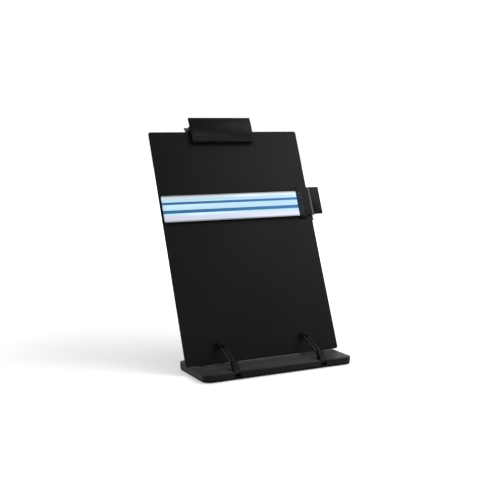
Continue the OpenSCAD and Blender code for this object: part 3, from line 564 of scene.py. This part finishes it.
def rounded(name, node, radius, segments=3, reshape=None, finish_slot=None):
    """A node's shape with its sharp edges rounded, as moulding or tumbling leaves them."""
    bm = merged(node)
    if reshape:
        for vertex in bm.verts:
            vertex.co = reshape(vertex.co)
    piece = object_from(name, bm)
    piece.data.shade_smooth()
    if radius > 0:
        soft = piece.modifiers.new("edges", "BEVEL")
        soft.width = radius
        soft.segments = segments
        soft.limit_method = "ANGLE"
        soft.angle_limit = SHARP_ANGLE
        soft.use_clamp_overlap = True
        soft.harden_normals = True
    else:
        piece.data.set_sharp_from_angle(angle=SHARP_ANGLE)
    return settle(piece, node, finish_slot)


def turned(name, profile, steps):
    """A mesh turned round Z from a profile of (radius, height) points, its ends on the axis."""
    bm = bmesh.new()
    verts = [bm.verts.new((radius, 0.0, height)) for radius, height in profile]
    edges = [bm.edges.new(pair) for pair in zip(verts, verts[1:])]
    bmesh.ops.spin(
        bm, geom=verts + edges, axis=(0, 0, 1), cent=(0, 0, 0), steps=steps, angle=2 * math.pi
    )
    bmesh.ops.remove_doubles(bm, verts=bm.verts, dist=0.001 * MM)
    bmesh.ops.recalc_face_normals(bm, faces=bm.faces)
    return object_from(name, bm)


def islands(node):
    """The boxes of a node's separate solids, as (lowest corner, highest corner)."""
    bm = merged(node)
    left = set(bm.verts)
    boxes = []
    while left:
        group = [left.pop()]
        for vertex in group:
            for edge in vertex.link_edges:
                other = edge.other_vert(vertex)
                if other in left:
                    left.remove(other)
                    group.append(other)
        low = Vector([min(v.co[i] for v in group) for i in range(3)])
        high = Vector([max(v.co[i] for v in group) for i in range(3)])
        boxes.append((low, high))
    bm.free()
    return sorted(boxes, key=lambda box: tuple(round(c, 5) for c in box[0]))


# ---------- geometry nodes ----------


def new_tree(name, sockets):
    """An empty geometry tree with a Geometry input and output and the named inputs."""
    tree = bpy.data.node_groups.new(name, "GeometryNodeTree")
    tree.is_modifier = True
    tree.interface.new_socket("Geometry", in_out="INPUT", socket_type="NodeSocketGeometry")
    for label, kind, default in sockets:
        socket = tree.interface.new_socket(label, in_out="INPUT", socket_type=kind)
        if default is not None:
            socket.default_value = default
    tree.interface.new_socket("Geometry", in_out="OUTPUT", socket_type="NodeSocketGeometry")
    return tree, add_node(tree, "NodeGroupInput")


def close_tree(tree, geometry, given):
    """Ends a tree in real geometry with its material."""
    real = add_node(tree, "GeometryNodeRealizeInstances", {"Geometry": geometry})
    smooth = add_node(tree, "GeometryNodeSetShadeSmooth", {"Geometry": real.outputs["Geometry"]})
    inputs = {"Geometry": smooth.outputs["Geometry"], "Material": given.outputs["Material"]}
    dressed = add_node(tree, "GeometryNodeSetMaterial", inputs)
    add_node(tree, "NodeGroupOutput", {"Geometry": dressed.outputs["Geometry"]})
    return tree


def wire_tree():
    """Round wire along a path of edges, bent at each point by that point's 'bend' radius."""
    tree, given = new_tree(
        "wire_along_path",
        (
            ("Wire radius", "NodeSocketFloat", 0.001),
            ("Sides", "NodeSocketInt", 16),
            ("Steps in a bend", "NodeSocketInt", 10),
            ("Material", "NodeSocketMaterial", None),
        ),
    )
    path = add_node(tree, "GeometryNodeMeshToCurve", {"Mesh": given.outputs["Geometry"]})
    bend = add_node(tree, "GeometryNodeInputNamedAttribute", {"Name": "bend"}, data_type="FLOAT")
    inputs = {
        "Curve": path.outputs["Curve"],
        "Radius": bend.outputs["Attribute"],
        "Count": given.outputs["Steps in a bend"],
        "Limit Radius": True,
    }
    bent = add_node(tree, "GeometryNodeFilletCurve", inputs, mode="POLY")
    inputs = {"Resolution": given.outputs["Sides"], "Radius": given.outputs["Wire radius"]}
    section = add_node(tree, "GeometryNodeCurvePrimitiveCircle", inputs)
    inputs = {
        "Curve": bent.outputs["Curve"],
        "Profile Curve": section.outputs["Curve"],
        "Fill Caps": True,
    }
    tube = add_node(tree, "GeometryNodeCurveToMesh", inputs)
    return close_tree(tree, tube.outputs["Mesh"], given)


def scatter_tree():
    """A template piece set on each point, each turned by a fixed random amount."""
    tree, given = new_tree(
        "template_on_points",
        (
            ("Template", "NodeSocketObject", None),
            ("Most turn", "NodeSocketFloat", 0.0),
            ("Seed", "NodeSocketInt", 3),
            ("Material", "NodeSocketMaterial", None),
        ),
    )
    inputs = {"Object": given.outputs["Template"]}
    template = add_node(tree, "GeometryNodeObjectInfo", inputs)
    chance = add_node(
        tree,
        "FunctionNodeRandomValue",
        {"Seed": given.outputs["Seed"]},
        data_type="FLOAT",
    )
    tree.links.new(given.outputs["Most turn"], chance.inputs[3])
    turn = add_node(tree, "ShaderNodeCombineXYZ", {"Z": chance.outputs[1]})
    inputs = {
        "Points": given.outputs["Geometry"],
        "Instance": template.outputs["Geometry"],
        "Rotation": turn.outputs["Vector"],
    }
    placed = add_node(tree, "GeometryNodeInstanceOnPoints", inputs)
    return close_tree(tree, placed.outputs["Instances"], given)


MADE_TREES = {}


def tree_for(maker):
    if maker.__name__ not in MADE_TREES:
        MADE_TREES[maker.__name__] = maker()
    return MADE_TREES[maker.__name__]


def run_tree(piece, maker, values):
    """Runs a geometry tree on a piece and leaves it a plain mesh."""
    tree = tree_for(maker)
    grown = piece.modifiers.new(tree.name, "NODES")
    grown.node_group = tree
    for socket in tree.interface.items_tree:
        if socket.in_out == "INPUT" and socket.name in values:
            grown[socket.identifier] = values[socket.name]
    graph = bpy.context.evaluated_depsgraph_get()
    mesh = bpy.data.meshes.new_from_object(piece.evaluated_get(graph), depsgraph=graph)
    piece.modifiers.remove(grown)
    seed_mesh = piece.data
    piece.data = mesh
    bpy.data.meshes.remove(seed_mesh)
    return piece


def wire_piece(name, points, bends, radius, slot, sides=16):
    """A wire through the points, in the model's frame, with a bend radius for each."""
    mesh = bpy.data.meshes.new(name)
    mesh.from_pydata(points, [(i, i + 1) for i in range(len(points) - 1)], [])
    mesh.attributes.new("bend", "FLOAT", "POINT").data.foreach_set("value", bends)
    values = {"Wire radius": radius, "Sides": sides, "Material": material_for(slot)}
    return run_tree(link_mesh(name, mesh), wire_tree, values)


def scattered(name, template, points, slot, most_turn=0.0):
    """The template repeated on the points, as one mesh. The template goes."""
    mesh = bpy.data.meshes.new(name)
    mesh.from_pydata(points, [], [])
    values = {"Template": template, "Most turn": most_turn, "Material": material_for(slot)}
    made = run_tree(link_mesh(name, mesh), scatter_tree, values)
    bpy.data.objects.remove(template)
    return made


# ---------- torsion springs ----------


class Coil(NamedTuple):
    """A torsion spring's coil round its own X axis, in mm and degrees"""

    radius: float
    wire: float
    turns: float
    start: float


CLIP_COIL = Coil(radius=2.05, wire=0.45, turns=9.375, start=180.0)
GUIDE_COIL = Coil(radius=1.6, wire=0.35, turns=7.375, start=180.0)
ARM_COIL = Coil(radius=1.65, wire=0.3, turns=3.125, start=270.0)
TURN_STEPS = 32
TURN_GAP = 0.5  # between turns, in mm
LEG_BEND = 0.8 * MM
LEG_GAP = 0.15  # between a spring's leg and what it bears on, in mm


def torsion_spring(name, node, matrix, coil, legs, bodies, slot):
    """A torsion spring. The two legs are lists of (y, z) points, in mm, from its axis.

    The whole spring is fixed in the model's frame as it stands at rest; its legs follow no body.
    """
    pitch = 2 * coil.wire + TURN_GAP
    points = []
    for i in range(round(coil.turns * TURN_STEPS) + 1):
        angle = math.radians(coil.start) + 2 * math.pi * i / TURN_STEPS
        x = pitch * (i / TURN_STEPS - coil.turns / 2)
        points.append((x, coil.radius * math.cos(angle), coil.radius * math.sin(angle)))
    first = [(points[0][0], *leg) for leg in legs[0]]
    after = [(points[-1][0], *leg) for leg in legs[1]]
    path = [matrix @ (Vector(point) * MM) for point in first + points + after]
    bends = [LEG_BEND] * len(first) + [0.0] * len(points) + [LEG_BEND] * len(after)
    made = wire_piece(name, path, bends, coil.wire * MM, slot, sides=12)
    last_turn = ACROSS * (pitch * coil.turns / 2 - coil.wire) * MM
    return settle(made, node, slot, (*bodies, matrix @ -last_turn, matrix @ last_turn))


# A rear lever's finger plate, from the pin: the inner face of its grip, its bend's height
# and its rise, in mm and degrees
REAR_INNER = 4.2
REAR_BEND = 0.6
REAR_RISE = math.radians(38.0)
REAR_LEG_LENGTH = 5.0


def rear_leg(coil):
    """A spring's leg along the finger plate of a rear lever, in mm."""
    off = coil.wire + LEG_GAP
    bend = (REAR_INNER - off * math.sin(REAR_RISE), REAR_BEND + off * math.cos(REAR_RISE))
    along = (REAR_LEG_LENGTH * math.cos(REAR_RISE), REAR_LEG_LENGTH * math.sin(REAR_RISE))
    return [bend, (bend[0] + along[0], bend[1] + along[1])]


# ---------- groups of pieces ----------


def dress_base():
    edge = sizes().moulded_edge
    rounded("top_cover", "base_cover", edge, finish_slot="cover_abs")
    rounded("bottom_plate", "base_plate", edge)
    rounded("notch_rack", "angle_rack", sizes().fine_edge)
    rounded("panel_hinge_pins", "hinge_pins", sizes().pin_edge)
    rounded("arm_hinge_pins", "arm_pins", sizes().pin_edge)
    feet()
    screws()


def feet():
    """Rubber feet, each turned with a rounded rim, one on each solid of the node."""
    boxes = islands("base_feet")
    low, high = boxes[0]
    radius = (high.x - low.x) / 2
    height = high.z - low.z
    edge = sizes().foot_edge
    steps = 5
    rim = [
        (radius - edge + edge * math.sin(a), edge - edge * math.cos(a))
        for a in (math.pi / 2 * i / steps for i in range(steps + 1))
    ]
    profile = [(0.0, 0.0), *rim, (radius, height), (0.0, height)]
    template = turned("foot_template", profile, stage_settings().rings)
    points = [((a.x + b.x) / 2, (a.y + b.y) / 2, a.z) for a, b in boxes]
    settle(scattered("rubber_feet", template, points, "rubber"), "base_feet")


SCREW_SHANK = 1.1 * MM  # radius
SCREW_HEAD = 0.8 * MM
SCREW_CROWN = 0.35 * MM
SCREW_TIP = 0.3 * MM
SCREW_RECESS = (2.6 * MM, 0.5 * MM, 1.2 * MM, 1.0)  # the cutter of a slot: long, wide and high


def screws():
    """Pan-head screws with a cross recess, one on each solid of the node."""
    boxes = islands("base_screws")
    low, high = boxes[0]
    head_radius = (high.x - low.x) / 2
    length = high.z - low.z
    profile = [
        (0.0, 0.0),
        (head_radius * 0.6, SCREW_CROWN * 0.25),
        (head_radius * 0.9, SCREW_CROWN * 0.8),
        (head_radius, SCREW_CROWN * 1.3),
        (head_radius, SCREW_HEAD),
        (SCREW_SHANK, SCREW_HEAD),
        (SCREW_SHANK, length - SCREW_TIP),
        (SCREW_SHANK - SCREW_TIP, length),
        (0.0, length),
    ]
    template = turned("screw_template", profile, stage_settings().rings)
    recess = bmesh.new()
    for angle in (0.0, math.pi / 2):
        slot = Matrix.Rotation(angle, 4, "Z") @ Matrix.Diagonal(SCREW_RECESS)
        bmesh.ops.create_cube(recess, size=1.0, matrix=slot)
    cutter = object_from("recess_cutter", recess)
    cut = template.modifiers.new("recess", "BOOLEAN")
    cut.object = cutter
    cut.operation = "DIFFERENCE"
    cut.solver = "EXACT"
    cut.use_self = True
    graph = bpy.context.evaluated_depsgraph_get()
    mesh = bpy.data.meshes.new_from_object(template.evaluated_get(graph), depsgraph=graph)
    template.modifiers.clear()
    template.data = mesh
    bpy.data.objects.remove(cutter)
    points = [((a.x + b.x) / 2, (a.y + b.y) / 2, a.z) for a, b in boxes]
    made = scattered("cover_screws", template, points, "bright_steel", math.pi)
    made.data.set_sharp_from_angle(angle=SHARP_ANGLE)
    settle(made, "base_screws")


def dress_panel():
    rounded("panel_sheet", "back_panel", sizes().fine_edge)
    rounded("prop_carrier", "prop_bracket", sizes().fine_edge)
    weld_marks()


PANEL_BACK = -2.85 * MM  # the sheet's back face, from the hinge's axis
BRACKET_SHEET = 1.2 * MM
WELD_RISE = 0.12 * MM
WELD_INSET = 6.5 * MM  # of a weld, from the bracket's end
WELD_HALF_STEP = 7.0 * MM  # of a pair of welds, either side of the prop's pivot


def weld_marks():
    """Shallow rings where the bracket's flanges are spot-welded to the panel."""
    radius = sizes().weld_radius
    profile = [(0.0, 0.0), (radius * 0.7, 0.0), (radius * 0.85, WELD_RISE), (radius, 0.0)]
    template = turned("weld_template", profile, stage_settings().rings)
    template.data.transform(place((0, 0, 0), ACROSS, -UP_SLOPE, OUT_BACK))
    low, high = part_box("prop_bracket")
    pivot = PANEL.inverted() @ joint_point("prop_swing")
    flange_middle = (high.x - low.x) / 2 - WELD_INSET
    points = [
        PANEL @ Vector((side * flange_middle, PANEL_BACK + BRACKET_SHEET, pivot.z + off))
        for side in (-1, 1)
        for off in (-WELD_HALF_STEP, WELD_HALF_STEP)
    ]
    made = scattered("weld_marks", template, points, "black_enamel")
    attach(made, "panel")


def dress_prop():
    low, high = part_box("prop_sleeve")
    foot = (low + high) / 2
    pivot = joint_point("prop_swing")
    down = foot - pivot
    half = ACROSS * sizes().prop_half
    reach = ACROSS * sizes().prop_reach
    path = [pivot - reach, pivot - half, pivot - half + down]
    path += [pivot + half + down, pivot + half, pivot + reach]
    elbow, bend = sizes().prop_elbow, sizes().prop_bend
    bends = [0.0, elbow, bend, bend, elbow, 0.0]
    made = wire_piece("prop_bail", path, bends, sizes().prop_radius, "bright_steel", sides=24)
    made.data.set_sharp_from_angle(angle=math.radians(60))
    settle(made, "prop_wire")
    rounded("prop_foot_sleeve", "prop_sleeve", sizes().fine_edge)


# The clip's front plate, from its pin: the middle of its thickness, its bend's height and
# how far it leans back above the bend
CLIP_MIDDLE = -5.6 * MM
CLIP_BEND = 2.6 * MM
CLIP_LEAN = math.radians(6)
CLIP_FRONT_LEG = (-3.743, 6.0)  # the end of its spring's front leg, from the pin, in mm


def dress_clip():
    """The page clip on the panel's top edge."""
    low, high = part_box("clip_front_lever")
    middle_x, half_w = (low.x + high.x) / 2, (high.x - low.x) / 2
    to_clip = CLIP.inverted()
    bevel = sizes().clip_end

    def draw_in_end(point):
        """The plate's front face ends short of its back, so each end is bevelled."""
        local = to_clip @ point
        middle_y = CLIP_MIDDLE + max(local.z - CLIP_BEND, 0.0) * math.tan(CLIP_LEAN)
        off = point.x - middle_x
        if abs(abs(off) - half_w) > 0.01 * MM or local.y > middle_y:
            return point
        return point - ACROSS * math.copysign(bevel, off)

    rounded("clip_front_plate", "clip_front_lever", sizes().moulded_edge, reshape=draw_in_end)
    rounded("clip_back_plate", "clip_rear_lever", sizes().moulded_edge)
    rounded("clip_front_strip", "clip_front_pad", sizes().fine_edge)
    rounded("clip_back_strip", "clip_rear_pad", sizes().fine_edge)
    rounded("clip_hinge_pin", "clip_pin", sizes().pin_edge)
    legs = [CLIP_FRONT_LEG], rear_leg(CLIP_COIL)
    bodies = "clip_front", "clip_rear"
    name, node = "clip_torsion_spring", "clip_spring"
    torsion_spring(name, node, CLIP, CLIP_COIL, legs, bodies, "spring_steel")


# The front leg of the guide's spring, from the pin, in mm: its end at the barrel's rim, and
# where it leaves the coil
GUIDE_FRONT_LEG = [(-1.2, 4.7), (-1.2, 2.0)]


def dress_guide():
    """The line guide on the panel's right edge."""
    edge = sizes().moulded_edge
    rounded("guide_front_block", "guide_front_jaw", edge, finish_slot="jaw_abs")
    rounded("guide_back_block", "guide_rear_jaw", sizes().moulded_edge)
    rounded("guide_front_strip", "guide_front_pad", sizes().fine_edge)
    rounded("guide_back_strip", "guide_rear_pad", sizes().fine_edge)
    rounded("guide_hinge_pin", "guide_pin", sizes().pin_edge)
    low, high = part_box("guide_pin")
    hinge = place((low + high) / 2, -UP_SLOPE, OUT_BACK, ACROSS)
    legs = GUIDE_FRONT_LEG, rear_leg(GUIDE_COIL)
    bodies = "guide_front", "guide_rear"
    name, node = "guide_torsion_spring", "guide_spring"
    torsion_spring(name, node, hinge, GUIDE_COIL, legs, bodies, "spring_steel")
    rounded("clear_strip", "guide_strip", sizes().fine_edge)
    rounded("blue_lines", "guide_lines", 0.0)


# An arm's spring, from the pin, in mm: the end of the leg on the bottom plate, and the
# length and rise of the leg in the lever
ARM_FOOT = (-2.0, -3.95)
ARM_LEG_LENGTH = 2.4
ARM_RISE = math.radians(50.0)


def dress_arms():
    """The two page arms at the front of the base."""
    coil_end = ARM_COIL.radius / math.sqrt(2)
    reach = (ARM_LEG_LENGTH * math.cos(ARM_RISE), ARM_LEG_LENGTH * math.sin(ARM_RISE))
    legs = [ARM_FOOT], [(coil_end + reach[0], reach[1] - coil_end)]
    for side in ("left", "right"):
        rounded(f"arm_{side}_block", f"arm_{side}_lever", sizes().moulded_edge)
        rounded(f"arm_{side}_bail", f"arm_{side}_wire", 0.0)
        rounded(f"arm_{side}_cap", f"arm_{side}_tip", sizes().fine_edge)
        name, node = f"arm_{side}_torsion_spring", f"arm_spring_{side}"
        bodies = "base", f"arm_{side}"
        torsion_spring(name, node, arm_place(side), ARM_COIL, legs, bodies, "dark_wire")


# ---------- stage ----------

# The camera, from the middle of the panel's hinge, and its turn, as the photograph has them
CAMERA_FROM_HINGE = Vector((-514.16, -985.36, 273.96)) * MM
CAMERA_YAW = math.radians(26.76)
CAMERA_PITCH = math.radians(7.34)
CAMERA_ROLL = math.radians(-0.33)
SENSOR = 36.0


def make_camera():
    data = bpy.data.cameras.new("camera")
    data.lens = stage_settings().lens
    data.sensor_width = SENSOR
    camera = bpy.data.objects.new("camera", data)
    bpy.context.scene.collection.objects.link(camera)
    yaw, pitch, roll = CAMERA_YAW, CAMERA_PITCH, CAMERA_ROLL
    flat = math.cos(pitch)
    ahead = Vector((math.sin(yaw) * flat, math.cos(yaw) * flat, -math.sin(pitch)))
    level = Vector((math.cos(yaw), -math.sin(yaw), 0.0))
    upright = level.cross(ahead)
    right = math.cos(roll) * level + math.sin(roll) * upright
    above = -math.sin(roll) * level + math.cos(roll) * upright
    camera.matrix_world = place(joint_point("panel_tilt") + CAMERA_FROM_HINGE, right, above, -ahead)
    bpy.context.scene.camera = camera


def area_light(name, spot, aim, size, power):
    data = bpy.data.lights.new(name, "AREA")
    data.shape = "RECTANGLE"
    data.size, data.size_y = size
    data.energy = power
    lamp = bpy.data.objects.new(name, data)
    bpy.context.scene.collection.objects.link(lamp)
    lamp.location = spot
    lamp.rotation_mode = "QUATERNION"
    lamp.rotation_quaternion = (Vector(aim) - Vector(spot)).to_track_quat("-Z", "Y")


def backdrop_seen(tree):
    """1 for the rays that should see the white backdrop: camera, glossy and through glass."""
    path = add_node(tree, "ShaderNodeLightPath")
    seen = path.outputs["Is Camera Ray"]
    for name in ("Is Glossy Ray", "Is Transmission Ray"):
        inputs = {0: seen, 1: path.outputs[name]}
        seen = add_node(tree, "ShaderNodeMath", inputs, operation="MAXIMUM").outputs[0]
    return seen


def make_world():
    """White for the rays that see the backdrop, and a plain ambient light for the rest."""
    world = bpy.data.worlds.new("studio")
    bpy.context.scene.world = world
    world.use_nodes = True
    tree = world.node_tree
    tree.nodes.clear()
    white = (1.0, 1.0, 1.0, 1.0)
    inputs = {"Color": white, "Strength": stage_settings().ambient}
    soft = add_node(tree, "ShaderNodeBackground", inputs)
    backdrop = add_node(tree, "ShaderNodeBackground", {"Color": white, "Strength": 1.0})
    inputs = {0: backdrop_seen(tree), 1: soft.outputs[0], 2: backdrop.outputs[0]}
    both = add_node(tree, "ShaderNodeMixShader", inputs)
    add_node(tree, "ShaderNodeOutputWorld", {"Surface": both.outputs[0]})


FLOOR_HALF = 6.0
SHADOW_ZONE = (0.25, 0.9)  # from the object's middle, where the floor's shadows fade out
FLOOR_GLOW = 0.3


def make_floor():
    """Matt white board that keeps the object's shadow and turns into the white backdrop."""
    bm = bmesh.new()
    bmesh.ops.create_grid(bm, x_segments=1, y_segments=1, size=FLOOR_HALF)
    floor = object_from("floor", bm)
    material = bpy.data.materials.new("painted_board_matt")
    material.use_nodes = True
    tree = material.node_tree
    tree.nodes.clear()
    coords = add_node(tree, "ShaderNodeTexCoord").outputs["Object"]
    away = add_node(tree, "ShaderNodeVectorMath", {0: coords}, operation="LENGTH").outputs["Value"]
    near, far = SHADOW_ZONE
    inputs = {"Value": away, "From Min": near, "From Max": far}
    inputs |= {"To Min": FLOOR_GLOW, "To Max": 1.0}
    glow = add_node(tree, "ShaderNodeMapRange", inputs, interpolation_type="SMOOTHSTEP")
    matt = add_node(tree, "ShaderNodeBsdfDiffuse", {"Color": [*stage_settings().floor, 1.0]})
    lamp = add_node(tree, "ShaderNodeEmission", {"Strength": glow.outputs["Result"]})
    dark = add_node(tree, "ShaderNodeEmission", {"Strength": 0.0})
    inputs = {0: backdrop_seen(tree), 1: dark.outputs[0], 2: lamp.outputs[0]}
    lift = add_node(tree, "ShaderNodeMixShader", inputs)
    total = add_node(tree, "ShaderNodeAddShader", {0: matt.outputs[0], 1: lift.outputs[0]})
    add_node(tree, "ShaderNodeOutputMaterial", {"Surface": total.outputs[0]})
    floor.data.materials.append(material)


LAMP_DISTANCE = 1.6
LAMP_AIM = (0.0, 0.0, 0.12)


def from_round(azimuth, elevation):
    """A lamp's place round the object: degrees right of the front, and degrees up."""
    turn, rise = math.radians(azimuth), math.radians(elevation)
    flat = LAMP_DISTANCE * math.cos(rise)
    return (flat * math.sin(turn), -flat * math.cos(turn), LAMP_DISTANCE * math.sin(rise))


# Each lamp's name, place and size. The clip's lower part mirrors the sheen light to the camera.
LAMPS = (
    ("key", from_round(62, 48), (0.9, 0.9)),
    ("fill", from_round(-70, 45), (1.2, 1.2)),
    ("gleam", from_round(8, 16), (0.35, 0.25)),
    ("sheen", (0.6, -0.91, 1.22), (0.2, 0.2)),
    ("rear", from_round(165, 50), (1.2, 0.8)),
)


def make_stage():
    bpy.context.scene.view_settings.view_transform = "Standard"
    make_camera()
    make_world()
    make_floor()
    for name, spot, size in LAMPS:
        area_light(name, spot, LAMP_AIM, size, getattr(stage_settings(), name))


# ---------- operators ----------


class HOLDER_OT_stage(bpy.types.Operator):
    """Sets up the camera, the light and the floor"""

    bl_idname = "holder.stage"
    bl_label = "Stage"
    bl_options = {"REGISTER", "UNDO"}

    def execute(self, context):
        make_stage()
        return {"FINISHED"}


class HOLDER_OT_base(bpy.types.Operator):
    """Dresses the base: cover, plate, rack, feet, screws and pins"""

    bl_idname = "holder.base"
    bl_label = "Base"
    bl_options = {"REGISTER", "UNDO"}

    def execute(self, context):
        dress_base()
        return {"FINISHED"}


class HOLDER_OT_panel(bpy.types.Operator):
    """Dresses the back panel and the bracket on it"""

    bl_idname = "holder.panel"
    bl_label = "Panel"
    bl_options = {"REGISTER", "UNDO"}

    def execute(self, context):
        dress_panel()
        return {"FINISHED"}


class HOLDER_OT_prop(bpy.types.Operator):
    """Dresses the wire prop and its sleeve"""

    bl_idname = "holder.prop"
    bl_label = "Prop"
    bl_options = {"REGISTER", "UNDO"}

    def execute(self, context):
        dress_prop()
        return {"FINISHED"}


class HOLDER_OT_clip(bpy.types.Operator):
    """Dresses the page clip"""

    bl_idname = "holder.clip"
    bl_label = "Page clip"
    bl_options = {"REGISTER", "UNDO"}

    def execute(self, context):
        dress_clip()
        return {"FINISHED"}


class HOLDER_OT_guide(bpy.types.Operator):
    """Dresses the line guide, its clear strip and its blue lines"""

    bl_idname = "holder.guide"
    bl_label = "Line guide"
    bl_options = {"REGISTER", "UNDO"}

    def execute(self, context):
        dress_guide()
        return {"FINISHED"}


class HOLDER_OT_arms(bpy.types.Operator):
    """Dresses the two page arms"""

    bl_idname = "holder.arms"
    bl_label = "Page arms"
    bl_options = {"REGISTER", "UNDO"}

    def execute(self, context):
        dress_arms()
        return {"FINISHED"}


OPERATORS = (
    HOLDER_OT_stage,
    HOLDER_OT_base,
    HOLDER_OT_panel,
    HOLDER_OT_prop,
    HOLDER_OT_clip,
    HOLDER_OT_guide,
    HOLDER_OT_arms,
)


class HOLDER_PT_sidebar(bpy.types.Panel):
    """The holder's settings and operators"""

    bl_label = "Copy holder"
    bl_idname = "HOLDER_PT_sidebar"
    bl_space_type = "VIEW_3D"
    bl_region_type = "UI"
    bl_category = "Copy holder"

    def draw(self, context):
        for settings in (sizes(), finish(), stage_settings()):
            box = self.layout.box()
            for name in settings.bl_rna.properties.keys():
                if name not in ("rna_type", "name"):
                    box.prop(settings, name)
        for operator in OPERATORS:
            self.layout.operator(operator.bl_idname)


SETTINGS = {
    "holder_sizes": HolderSizes,
    "holder_finish": HolderFinish,
    "holder_stage": HolderStage,
}


def register():
    for made in (*SETTINGS.values(), *OPERATORS, HOLDER_PT_sidebar):
        bpy.utils.register_class(made)
    for name, group in SETTINGS.items():
        setattr(bpy.types.Scene, name, PointerProperty(type=group))


def unregister():
    for name in SETTINGS:
        delattr(bpy.types.Scene, name)
    for made in reversed((*SETTINGS.values(), *OPERATORS, HOLDER_PT_sidebar)):
        bpy.utils.unregister_class(made)


def main():
    register()
    for operator in OPERATORS:
        group, name = operator.bl_idname.split(".")
        getattr(getattr(bpy.ops, group), name)()


if __name__ == "__main__":
    main()
